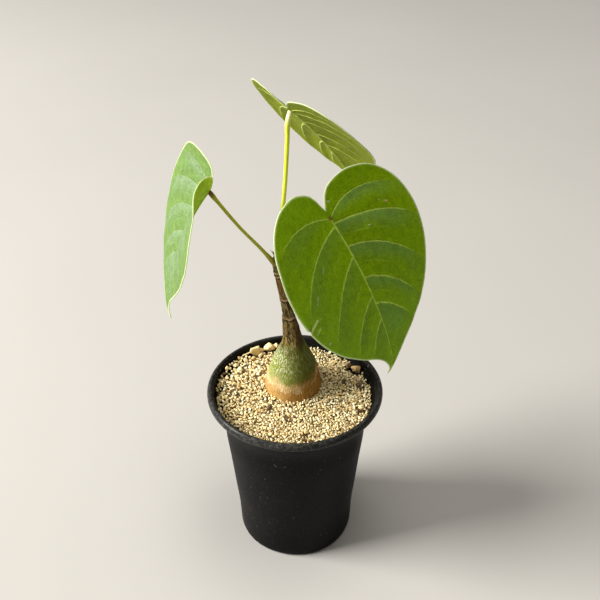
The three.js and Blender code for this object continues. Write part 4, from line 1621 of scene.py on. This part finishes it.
@dataclass(frozen=True)
class Pot:
    """The black plastic pot: a tapered wall with a flare and a rounded lip, on a raised foot with drains.

    Lines are given as radius and height.
    """

    foot_line: tuple[Range, ...] = (
        (0, 0), (11, 0), (11.4, 0.15), (11.8, 0.7), (12.2, 1), (23.4, 1), (23.9, 0.7), (24.2, 0.15),
        (24.7, 0), (28.6, 0), (29.3, 0.12), (29.9, 0.5), (30.35, 1.1),
    )
    outside: tuple[Range, ...] = (
        (30.7, 2.4), (31.4, 18), (32.7, 31), (34.8, 53), (36.2, 66), (36.9, 77), (38.6, 83), (41, 87.2),
        (42.3, 89.8),
    )
    wall: float = 1.2
    wall_steps: int = 46
    floor_top: float = 2.4
    corner: float = 0.4
    lip_radius: float = 43.3
    lip_height: float = 92.4
    lip_half_width: float = 1.7
    lip_half_height: float = 2.3
    lip_from: float = -65.0
    lip_sweep: float = 245.0
    lip_steps: int = 26
    sides: int = 160
    sharp_from: float = 50.0
    drain_count: int = 8
    drain_radius: float = 2.5
    drain_circle: float = 18.0
    drain_sides: int = 28
    finish: PotFinish = PotFinish()

    def inside_radius(self, height: Array) -> Array:
        """Give the inner radius of the wall at heights."""
        radii, heights = zip(*self.outside)
        return np.interp(height, heights, radii) - self.wall

    def section(self) -> list[Range]:
        """List the section from the middle of the foot round the lip to the middle of the floor.

        Returns:
            Pairs of radius and height.
        """
        heights = np.linspace(self.outside[0][1], self.outside[-1][1], self.wall_steps)
        outer = list(zip(hermite([(z, radius) for radius, z in self.outside], heights), heights))
        bead = []
        for step in range(self.lip_steps + 1):
            angle = math.radians(self.lip_from + self.lip_sweep * step / self.lip_steps)
            radius = self.lip_radius + self.lip_half_width * math.cos(angle)
            bead.append((radius, self.lip_height + self.lip_half_height * math.sin(angle)))
        inner = [(radius - self.wall, z) for radius, z in reversed(outer)]
        floor = [(inner[-1][0] - self.corner, self.floor_top), (0, self.floor_top)]
        return [*self.foot_line, *outer, *bead, *inner[:-1], *floor]

    def drills(self) -> Thing:
        """Make the cutters for the drain holes.

        Returns:
            One object that holds them all.
        """
        bm = bmesh.new()
        for index in range(self.drain_count):
            angle = (index + 0.5) / self.drain_count * FULL_TURN
            spot = (self.drain_circle * math.cos(angle), self.drain_circle * math.sin(angle), 0)
            bmesh.ops.create_cone(
                bm, cap_ends=True, segments=self.drain_sides, radius1=self.drain_radius,
                radius2=self.drain_radius, depth=4 * self.floor_top, matrix=Matrix.Translation(spot),
            )
        return into_scene(bm, "drills")

    def build(self) -> Thing:
        """Make the pot.

        Returns:
            The piece.
        """
        bm = bmesh.new()
        full_turn(bm, self.section(), self.sides)
        bmesh.ops.recalc_face_normals(bm, faces=bm.faces)
        set_smooth(bm)
        piece = finish_piece(bm, "plastic_pot", self.finish.build(), "pot")
        cutter = self.drills()
        cut = piece.modifiers.new("drains", "BOOLEAN")
        cut.operation = "DIFFERENCE"
        cut.solver = "EXACT"
        cut.object = cutter
        graph = bpy.context.evaluated_depsgraph_get()
        drilled = bpy.data.meshes.new_from_object(piece.evaluated_get(graph))
        piece.modifiers.clear()
        piece.data = drilled
        bpy.data.objects.remove(cutter)
        drilled.set_sharp_from_angle(angle=math.radians(self.sharp_from))
        return piece


@dataclass(frozen=True)
class Stone:
    """A larger stone of the dressing: its middle, half sizes, tone, turn and lean."""

    middle: Place
    half: Place
    tone: float
    turn: float = 0.0
    lean: float = 0.0


@dataclass(frozen=True)
class Heap:
    """How the fill is heaped towards one side of the wall, in degrees and millimetres."""

    toward: float = 140.0
    spread: float = 60.0
    start: float = 14.0
    end: float = 34.0
    height: float = 3.8

    def share(self, x: Array, y: Array) -> Array:
        """Give how much of the heap's height there is at places."""
        turn = (np.degrees(np.arctan2(y, x)) - self.toward + 180) % 360 - 180
        return np.exp(-((turn / self.spread) ** 2)) * smooth_step(np.hypot(x, y), self.start, self.end)


class HeightMap:
    """The height of what has settled so far, on a fine square grid."""

    def __init__(self, reach: float, cell: float = 0.25) -> None:
        """Start a level map.

        Args:
            reach: How far it goes either way.
            cell: How wide its cells are.
        """
        self.reach = reach
        self.cell = cell
        line = np.arange(-reach, reach + cell, cell)
        self.x, self.y = np.meshgrid(line, line, indexing="ij")
        self.height = np.zeros_like(self.x)

    def window(self, x: float, y: float, radius: float) -> tuple[tuple[slice, slice], Array]:
        """Give the cells under a grain and how high its round side stands over them.

        Args:
            x: Its place along x.
            y: Its place along y.
            radius: Its radius.

        Returns:
            The cells and the heights, minus infinity off the grain.
        """
        low_x, low_y = (max(int((at - radius + self.reach) / self.cell), 0) for at in (x, y))
        count = int(2 * radius / self.cell) + 2
        cells = (slice(low_x, low_x + count), slice(low_y, low_y + count))
        off = radius**2 - (self.x[cells] - x) ** 2 - (self.y[cells] - y) ** 2
        return cells, np.where(off > 0, np.sqrt(np.maximum(off, 0)), -np.inf)

    def cell_at(self, x: float, y: float) -> tuple[int, int]:
        """Give the cell at a place."""
        return int((x + self.reach) / self.cell + 0.5), int((y + self.reach) / self.cell + 0.5)

    def rest(self, x: float, y: float, radius: float) -> float:
        """Give the height at which a grain comes to rest."""
        cells, round_side = self.window(x, y, radius)
        return float((self.height[cells] + round_side).max())

    def cover(self, x: float, y: float, z: float, radius: float, rise: float = 1.0) -> None:
        """Add a grain, which stands rise times as high as it is wide."""
        cells, round_side = self.window(x, y, radius)
        self.height[cells] = np.maximum(self.height[cells], z + round_side * rise)


@dataclass(frozen=True)
class Dressing:
    """The pale grit: nearly three thousand small chips over a bed, with some larger stones."""

    pot: Pot
    caudex: Caudex
    seed: int = 31
    top: float = 88.2
    depth: float = 2.6
    floor: float = 83.4
    mound: float = 2.6
    mound_reach: float = 25.0
    unevenness: float = 0.45
    unevenness_length: float = 11.0
    heap: Heap = Heap()
    usual_radius: float = 0.96
    coarse_radius: float = 1.42
    radius_shares: Range = (0.62, 1.25)
    settle_share: float = 0.92
    overfill: float = 0.45
    shapes: int = 16
    corners: int = 10
    stone_corners: int = 13
    corner_shares: Range = (0.82, 1.08)
    stretches: tuple[Place, Place] = ((0.9, 0.88, 0.82), (1.22, 1.1, 1.02))
    usual_tone: float = 0.78
    tone_spread: float = 0.27
    dark_share: float = 0.02
    darkest: float = 0.1
    # The bed's near-black tone is painted shade in the gaps between the grains.
    bed_shade_tone: float = 0.03
    bed_steps: int = 120
    bed_shares: tuple[float, ...] = (0, 0.15, 0.3, 0.45, 0.6, 0.8, 1)
    most: int = 9500
    tries: int = 9
    misses: int = 90
    batch: int = 300
    stones: tuple[Stone, ...] = (
        Stone((-21.8, 31.6, 93.2), (3.0, 2.6, 4.0), 0.62, 20, -14),
        Stone((-18.9, 33.4, 92.0), (2.2, 1.8, 1.7), 0.40, -25),
        Stone((-18.7, 29.8, 91.3), (1.7, 1.6, 1.7), 0.52, 50),
        Stone((-14.7, 35.0, 92.6), (4.0, 2.9, 3.5), 0.62, 14),
        Stone((-10.4, 36.2, 92.2), (2.6, 2.2, 2.9), 0.58, 60),
        Stone((-26.5, 24.8, 91.7), (1.8, 1.6, 1.7), 0.60, 10),
        Stone((-22.5, 26.6, 91.4), (1.9, 1.5, 1.2), 0.22, 30),
        Stone((-31.5, 20.4, 91.5), (1.6, 1.5, 1.6), 0.68, 80),
        Stone((-36.2, 16.6, 91.9), (1.3, 1.2, 2.4), 0.74, 40),
        Stone((-28.9, 16.8, 91.5), (2.2, 2.0, 2.0), 0.86, 15),
        Stone((32.4, 19.2, 90.2), (2.8, 2.5, 2.2), 0.15, 25),
        Stone((28.6, 22.8, 89.8), (2.0, 1.9, 1.9), 0.06, 70),
        Stone((34.2, 7.6, 89.4), (2.0, 1.9, 1.7), 0.03, 35),
        Stone((35.2, 5.4, 89.6), (0.9, 0.9, 1.1), 1.0, 20),
        Stone((33.6, -11.2, 89.3), (2.1, 1.9, 1.7), 0.55, 55),
        Stone((25.6, 10.0, 89.6), (1.5, 1.4, 1.4), 0.02, 15),
        Stone((-12.6, -12.2, 90.1), (1.7, 1.6, 1.4), 0.02, 45),
        Stone((5.6, -28.2, 88.9), (1.5, 1.4, 1.3), 0.45, 10),
        Stone((-3.2, -16.6, 89.5), (1.6, 1.5, 1.3), 0.62, 75),
        Stone((-27.0, 29.6, 91.9), (3.9, 0.6, 0.5), 0.66, 39),
        Stone((9.2, 33.5, 91.3), (0.55, 0.6, 2.6), 0.72, 0, -23),
    )
    finish: GritFinish = GritFinish()

    def bulb(self) -> Array:
        """Give the middle of the bulb at the fill line."""
        return self.caudex.centre(np.array(self.top))

    def surface(self, x: Array, y: Array) -> Array:
        """Give the height that the grit is filled to.

        Args:
            x: Places along x.
            y: Places along y.

        Returns:
            The heights.
        """
        out = np.hypot(x - self.bulb()[0], y - self.bulb()[1]) - self.caudex.widest()
        share = np.clip(out / self.mound_reach, 0, 1)
        uneven = self.unevenness * rumple(np.stack([x, y], axis=-1), self.unevenness_length, self.seed)
        return self.top + self.mound * (1 - share) ** 2 + self.heap.height * self.heap.share(x, y) + uneven

    def drop_grains(self) -> tuple[Array, Array]:
        """Let grains settle on each other until the fill line is reached.

        Returns:
            The middle and the radius of each grain.
        """
        random = np.random.default_rng(self.seed)
        bulb, keep_off = self.bulb(), self.caudex.widest() - 0.3
        levels = np.linspace(self.floor, self.floor + 10, 41)
        walls = self.pot.inside_radius(levels)
        settled = HeightMap(self.pot.lip_radius)
        fill = self.surface(settled.x, settled.y)
        heaped = self.heap.share(settled.x, settled.y) ** 2
        settled.height = fill - self.depth
        for stone in self.stones:
            wide = (stone.half[0] * stone.half[1]) ** 0.5
            settled.cover(*stone.middle, wide, stone.half[2] / wide)
        grains: list[tuple[float, float, float, float]] = []
        misses = 0
        while len(grains) < self.most and misses < self.misses:
            found = []
            for _ in range(self.tries):
                angle = random.uniform(0, FULL_TURN)
                out = self.pot.lip_radius * math.sqrt(random.uniform(0, 1))
                x, y = out * math.cos(angle), out * math.sin(angle)
                coarse = float(heaped[settled.cell_at(x, y)])
                radius = self.usual_radius + (self.coarse_radius - self.usual_radius) * coarse
                radius *= random.uniform(*self.radius_shares)
                if math.hypot(x - bulb[0], y - bulb[1]) < keep_off + radius * 0.75:
                    continue
                for _ in range(2):
                    z = settled.rest(x, y, radius * self.settle_share)
                    limit = float(np.interp(z, levels, walls)) - radius * 0.9
                    out = math.hypot(x, y)
                    if out > limit:
                        x, y = x * limit / out, y * limit / out
                over = z + 0.5 * radius - float(fill[settled.cell_at(x, y)])
                found.append((over, (x, y, z, radius)))
            over, grain = min(found, key=lambda trial: trial[0], default=(math.inf, ()))
            if over > self.overfill:
                misses += 1
                continue
            misses = 0
            x, y, z, radius = grain
            settled.cover(x, y, z, radius * self.settle_share)
            grains.append(grain)
        LOG.info("grains: %d", len(grains))
        table = np.array(grains)
        return table[:, :3], table[:, 3]

    def chip_shape(self, bm: Mesh, random: Random, corners: int) -> list[Corner]:
        """Add one angular chip of unit radius at the origin.

        Args:
            bm: The mesh that gets it.
            random: The source of random numbers.
            corners: How many corners to draw.

        Returns:
            Its vertices.
        """
        ball = random.normal(size=(corners, 3))
        ball /= np.linalg.norm(ball, axis=1, keepdims=True)
        ball *= random.uniform(*self.corner_shares, size=(corners, 1))
        verts = [bm.verts.new(point) for point in ball]
        hull = bmesh.ops.convex_hull(bm, input=verts)
        inner = [vert for vert in hull["geom_interior"] if isinstance(vert, Corner)]
        bmesh.ops.delete(bm, geom=inner, context="VERTS")
        return [vert for vert in verts if vert.is_valid]

    def chips(self, bm: Mesh, random: Random, middles: Array, radii: Array) -> None:
        """Add a batch of grains, each a turned and stretched copy of one of a few chips.

        Args:
            bm: The mesh that gets them.
            random: The source of random numbers.
            middles: Their middles.
            radii: Their radii.
        """
        tone_layer = bm.verts.layers.float.new("tone")
        originals = [self.chip_shape(bm, random, self.corners) for _ in range(self.shapes)]
        geometry = [list({face for vert in shape for face in vert.link_faces}) for shape in originals]
        for middle, radius in zip(middles, radii):
            pick = int(random.integers(self.shapes))
            copy = bmesh.ops.duplicate(bm, geom=geometry[pick] + originals[pick])["geom"]
            verts = [item for item in copy if isinstance(item, Corner)]
            turn = Euler(random.uniform(0, FULL_TURN, 3)).to_matrix().to_4x4()
            stretch = Matrix.Diagonal((*(radius * random.uniform(*self.stretches)), 1))
            bmesh.ops.transform(bm, matrix=Matrix.Translation(middle) @ turn @ stretch, verts=verts)
            tone = float(np.clip(random.normal(self.usual_tone, self.tone_spread), 0.08, 1.0))
            if random.uniform() < self.dark_share:
                tone = float(random.uniform(0.0, self.darkest))
            for vert in verts:
                vert[tone_layer] = tone
        bmesh.ops.delete(bm, geom=[vert for shape in originals for vert in shape], context="VERTS")

    def large_stones(self, bm: Mesh, random: Random) -> None:
        """Add the larger stones, each a knocked and rounded ball.

        Args:
            bm: The mesh that gets them.
            random: The source of random numbers.
        """
        tone_layer = bm.verts.layers.float.new("tone")
        for number, stone in enumerate(self.stones):
            verts = self.chip_shape(bm, random, self.stone_corners)
            faces = list({face for vert in verts for face in vert.link_faces})
            edges = list({edge for face in faces for edge in face.edges})
            made = bmesh.ops.subdivide_edges(bm, edges=edges, cuts=3, use_grid_fill=True, smooth=0.1)["geom"]
            faces = [item for item in made if isinstance(item, bmesh.types.BMFace)] + faces
            shape = list({vert for face in faces if face.is_valid for vert in face.verts})
            places = np.array([vert.co for vert in shape])
            knocks = 0.13 * rumple(places, 1.0, self.seed + number)
            rise = knocks + 0.06 * rumple(places, 0.4, self.seed - number)
            for vert, height in zip(shape, rise):
                vert.co *= 1 + height
                vert[tone_layer] = stone.tone
            lean = Matrix.Rotation(math.radians(stone.lean), 4, "Y")
            turn = Matrix.Rotation(math.radians(stone.turn), 4, "Z")
            grow = Matrix.Diagonal((*stone.half, 1))
            bmesh.ops.transform(bm, matrix=Matrix.Translation(stone.middle) @ lean @ turn @ grow, verts=shape)

    def bed(self, bm: Mesh) -> None:
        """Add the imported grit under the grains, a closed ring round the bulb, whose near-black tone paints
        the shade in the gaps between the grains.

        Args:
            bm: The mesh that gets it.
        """
        tone_layer = bm.verts.layers.float.new("tone")
        bulb = self.bulb()
        inner = self.caudex.widest() - 0.4
        outer = float(self.pot.inside_radius(self.floor)) - 0.3
        section = [(1, 0), (2, 0), *((1 + share, 1) for share in reversed(self.bed_shares))]
        full_turn(bm, section, self.bed_steps, closed=True)
        for vert in bm.verts:
            angle = math.atan2(vert.co.y, vert.co.x)
            share = math.hypot(vert.co.x, vert.co.y) - 1
            near = (bulb[0] + inner * math.cos(angle), bulb[1] + inner * math.sin(angle))
            x = near[0] + (outer * math.cos(angle) - near[0]) * share
            y = near[1] + (outer * math.sin(angle) - near[1]) * share
            top = float(self.surface(x, y)) - self.depth
            vert.co = (x, y, self.floor + (top - self.floor) * vert.co.z)
            # Painted shade: the bed is dark so that the gaps between the grains read as shadow.
            vert[tone_layer] = self.bed_shade_tone
        bmesh.ops.recalc_face_normals(bm, faces=bm.faces)

    @staticmethod
    def pour(whole: Mesh, fill: Callable[..., None], *inputs: object) -> None:
        """Fill a new mesh and move it into the whole.

        Args:
            whole: The mesh that gets it.
            fill: What fills the new mesh.
            inputs: What fill takes besides it.
        """
        part = bmesh.new()
        fill(part, *inputs)
        mesh = bpy.data.meshes.new("batch")
        part.to_mesh(mesh)
        part.free()
        whole.from_mesh(mesh)
        bpy.data.meshes.remove(mesh)

    def build(self) -> Thing:
        """Make the grit.

        Returns:
            The piece.
        """
        middles, radii = self.drop_grains()
        random = np.random.default_rng(self.seed + 1)
        whole = bmesh.new()
        whole.verts.layers.float.new("tone")
        self.pour(whole, self.bed)
        self.pour(whole, self.large_stones, random)
        set_smooth(whole)
        for start in range(0, len(radii), self.batch):
            some = slice(start, start + self.batch)
            self.pour(whole, self.chips, random, middles[some], radii[some])
        bmesh.ops.recalc_face_normals(whole, faces=whole.faces)
        return finish_piece(whole, "grit_chips", self.finish.build(), "grit")


@dataclass(frozen=True)
class Lamp:
    """A soft square lamp: where it hangs in metres, its side, its power in watts and its colour."""

    name: str
    place: Place
    size: float
    power: float
    colour: Colour
    target: Place = (0, 0, 0.16)

    def build(self) -> None:
        """Hang the lamp."""
        data = bpy.data.lights.new(self.name, "AREA")
        data.shape = "SQUARE"
        data.size = self.size
        data.energy = self.power
        data.color = self.colour
        lamp = bpy.data.objects.new(self.name, data)
        lamp.location = self.place
        lamp.rotation_euler = (Vector(self.target) - Vector(self.place)).to_track_quat("-Z", "Y").to_euler()
        bpy.context.scene.collection.objects.link(lamp)


@dataclass(frozen=True)
class Studio:
    """Plain pale floor, soft light and the photograph's viewpoint: millimetres and degrees for the camera."""

    eye: Place = (2.747, -339.87, 375.16)
    pitch: float = 33.849
    roll: float = -0.169
    lens: float = 51.34
    sensor: float = 36.0
    floor_size: float = 8.0
    floor_colours: tuple[Colour, Colour] = ((0.42, 0.41, 0.395), (0.47, 0.46, 0.445))
    surround: tuple[float, ...] = (1.0, 0.95, 0.87, 1.0)
    surround_strength: float = 0.12
    lamps: tuple[Lamp, ...] = (
        Lamp("window", (-2.2, -0.22, 1.50), 1.25, 156.0, (1.0, 0.97, 0.91)),
        Lamp("sky", (0.3, 0.0, 3.0), 1.5, 46.0, (1.0, 0.96, 0.89)),
    )

    def camera(self) -> None:
        """Set up the camera."""
        pitch, roll = math.radians(self.pitch), math.radians(self.roll)
        ahead = Vector((0, math.cos(pitch), -math.sin(pitch)))
        right = Vector((1, 0, 0))
        above = right.cross(ahead)
        turned_right = math.cos(roll) * right + math.sin(roll) * above
        turned_above = math.cos(roll) * above - math.sin(roll) * right
        data = bpy.data.cameras.new("viewpoint")
        data.lens = self.lens
        data.sensor_width = self.sensor
        data.clip_start = 0.01
        camera = bpy.data.objects.new("viewpoint", data)
        turn = Matrix((turned_right, turned_above, -ahead)).transposed()
        camera.matrix_world = Matrix.Translation(Vector(self.eye) * MM) @ turn.to_4x4()
        bpy.context.scene.collection.objects.link(camera)
        bpy.context.scene.camera = camera

    def floor(self) -> None:
        """Lay the floor."""
        bm = bmesh.new()
        bmesh.ops.create_grid(bm, x_segments=1, y_segments=1, size=self.floor_size / 2)
        floor = into_scene(bm, "floor", 1.0)
        desk = NodeDesk("pale floor")
        colour = desk.mix(desk.noise(desk.place(), 3.0, 3.0, 0.5), *self.floor_colours)
        inputs = {"Base Color": colour, "Roughness": 0.9, "Specular IOR Level": 0.1}
        plain = desk.add("BsdfPrincipled", inputs)
        floor.data.materials.append(desk.finish(plain.outputs[0]))

    def build(self) -> None:
        """Set up the studio."""
        self.camera()
        self.floor()
        world = bpy.data.worlds.new("soft surround")
        bpy.context.scene.world = world
        world.use_nodes = True
        background = world.node_tree.nodes["Background"]
        background.inputs["Color"].default_value = self.surround
        background.inputs["Strength"].default_value = self.surround_strength
        for lamp in self.lamps:
            lamp.build()
        bpy.context.scene.view_settings.view_transform = "Standard"


def front_marks() -> tuple[Mark, ...]:
    """List the scars, specks and stray thin veins on the front blade.

    Returns:
        The marks.
    """
    pale, vein, tan = (0.60, 0.66, 0.38), (0.32, 0.46, 0.08), (0.66, 0.50, 0.20)
    scar = (0.80, 0.86, 0.34)
    return (
        Mark(((-5.3, 22.0), (-8.6, 23.2), (-11.4, 23.9)), 0.14, vein, 0.55),
        Mark(((5.6, -33.0), (7.2, -26.0), (10.9, -21.1)), 0.12, vein, 0.5),
        Mark(((35.6, -20.3), (36.0, -26.4), (39.2, -29.2)), 0.12, vein, 0.55),
        Mark(((32.2, -35.8), (29.6, -30.8)), 0.62, scar, 1.0),
        Mark(((34.7, -32.9), (33.3, -30.7)), 0.42, scar, 0.7),
        Mark(((6.7, 26.6), (7.2, 27.5)), 0.42, tan, 1.0),
        Mark(((4.9, 24.6), (5.2, 24.8)), 0.32, pale, 0.6),
        Mark(((-6.6, 2.7), (-6.1, 3.4)), 0.46, pale, 0.6),
        Mark(((11.0, 13.8), (11.3, 14.2)), 0.32, pale, 0.8),
        Mark(((13.4, -17.1), (15.4, -18.6)), 0.34, pale, 0.5),
        Mark(((21.6, -26.0), (24.0, -27.8)), 0.32, pale, 0.5),
        Mark(((42.4, -28.5), (42.6, -28.7)), 0.42, (1.0, 1.0, 0.85), 1.0),
        Mark(((45.1, 25.2), (45.1, 25.4)), 0.30, (0.02, 0.03, 0.01), 1.0),
    )


def leaves() -> dict[str, Leaf]:
    """List the three leaves by where they stand.

    Returns:
        The leaves by name.
    """
    front = Leaf(
        name="front", joint=(15, -37.5, 211.5), length=80.5, heading=-33.5, droop=48.5, roll=5.5,
        bend=40, bend_back=-103, side_bend=11, twist=-1, tip_curl=29, tip_side=-29,
        left=HalfForm(0.95, 17, -2, 0), right=HalfForm(0.95, 2, -35, 0), mirrored=False,
        # The front blade's painted sheen is weaker on its right half.
        finish=LeafFinish("leaf front", front_marks(), painted_sheen_right=0.45), seed=3,
        nick=Nick(Side.RIGHT, 8.62, 0.05, 0.03),
    )
    left = Leaf(
        name="left", joint=(-38, 2.5, 204), length=68.5, heading=176, droop=54, roll=-9,
        bend=29, bend_back=-139, side_bend=24, twist=0, tip_curl=23, tip_side=29,
        left=HalfForm(0.98, 29, -35, -72), right=HalfForm(0.96, 34, -34, -36), mirrored=True,
        finish=LeafFinish(
            # Its paler, greyer upper colours paint the sheen of the light falling on its face, and its
            # brighter underside colours paint light shining through the blade.
            "leaf left", deep=(0.21, 0.34, 0.125), fresh=(0.23, 0.37, 0.10), painted_sheen=(0.31, 0.43, 0.27),
            painted_sheen_share=0.65, vein=(0.44, 0.56, 0.32), vein_share=0.55, vein_width=1.0,
            under_deep=(0.37, 0.47, 0.002), under_pale=(0.58, 0.72, 0.004), glow=(0.46, 0.66, 0.01),
        ),
        seed=4,
    )
    back = Leaf(
        name="back", joint=(-1, 13, 237.5), length=69, heading=50.5, droop=40, roll=-10.5,
        bend=16, bend_back=-6, side_bend=-2, twist=-5, tip_curl=29, tip_side=27,
        left=HalfForm(0.76, 29, -14, -28), right=HalfForm(1.06, -4, -5, -45), mirrored=True,
        finish=LeafFinish(
            # Its brighter, yellower underside colours and pale underside veins paint light shining through
            # the blade from above.
            "leaf back", painted_sheen_share=0.35, under_deep=(0.26, 0.31, 0.002), under_pale=(0.37, 0.41, 0.008),
            under_vein=(0.88, 0.95, 0.28), vein_width=2.0,
        ), seed=5,
    )
    return {"front": front, "left": left, "back": back}


def stalks(blades: dict[str, Leaf]) -> list[Stalk]:
    """List the stalks of the leaves.

    Args:
        blades: The leaves by name.

    Returns:
        The stalks.
    """
    green = (0.34, 0.44, 0.03)
    return [
        Stalk(
            "front", blades["front"],
            ((-8.1, 5.6, 163.4), (-6.8, 3.0, 167.6), (-2.8, -5.4, 176.6), (3.4, -18.2, 189.4),
             (10.6, -33.0, 205.6)),
            (1.3, 1.0, 1.2),
            StalkFinish("stalk front", (0.16, 0.13, 0.02), green, (0.30, 0.32, 0.06)),
        ),
        Stalk(
            "left", blades["left"],
            ((-8.3, 6.4, 162.3), (-10.9, 6.1, 166.2), (-15.9, 5.4, 173.1), (-24.7, 4.4, 184.3),
             (-33.8, 3.2, 197.8)),
            (1.25, 0.85, 1.1),
            StalkFinish("stalk left", (0.34, 0.28, 0.02), (0.48, 0.48, 0.03), (0.14, 0.05, 0.01), 0.96),
        ),
        Stalk(
            "back", blades["back"],
            ((-8.4, 7.4, 162.9), (-8.3, 9.3, 168.2), (-7.3, 9.6, 178.5), (-4.8, 9.9, 193.2),
             (-2.6, 11.4, 224), (-2.3, 11.0, 232.5)),
            (1.3, 1.0, 1.2),
            # Its very bright middle colour paints the light shining through the stalk.
            StalkFinish("stalk back", (0.30, 0.33, 0.03), (0.92, 0.98, 0.06), (0.98, 1.0, 0.55), 0.955),
        ),
    ]


def main() -> None:
    """Build the plant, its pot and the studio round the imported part."""
    logging.basicConfig(level=logging.INFO, format="%(name)s: %(message)s")
    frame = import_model()
    mix = frame["nodes"]["potting_mix"].data.materials
    mix.clear()
    mix.append(MixFinish().build())
    pot, caudex, blades = Pot(), Caudex(), leaves()
    plant = (caudex, Dressing(pot, caudex), GrowingTip(), *blades.values(), *stalks(blades))
    for item in (pot, *plant, Studio()):
        item.build()


if __name__ == "__main__":
    main()
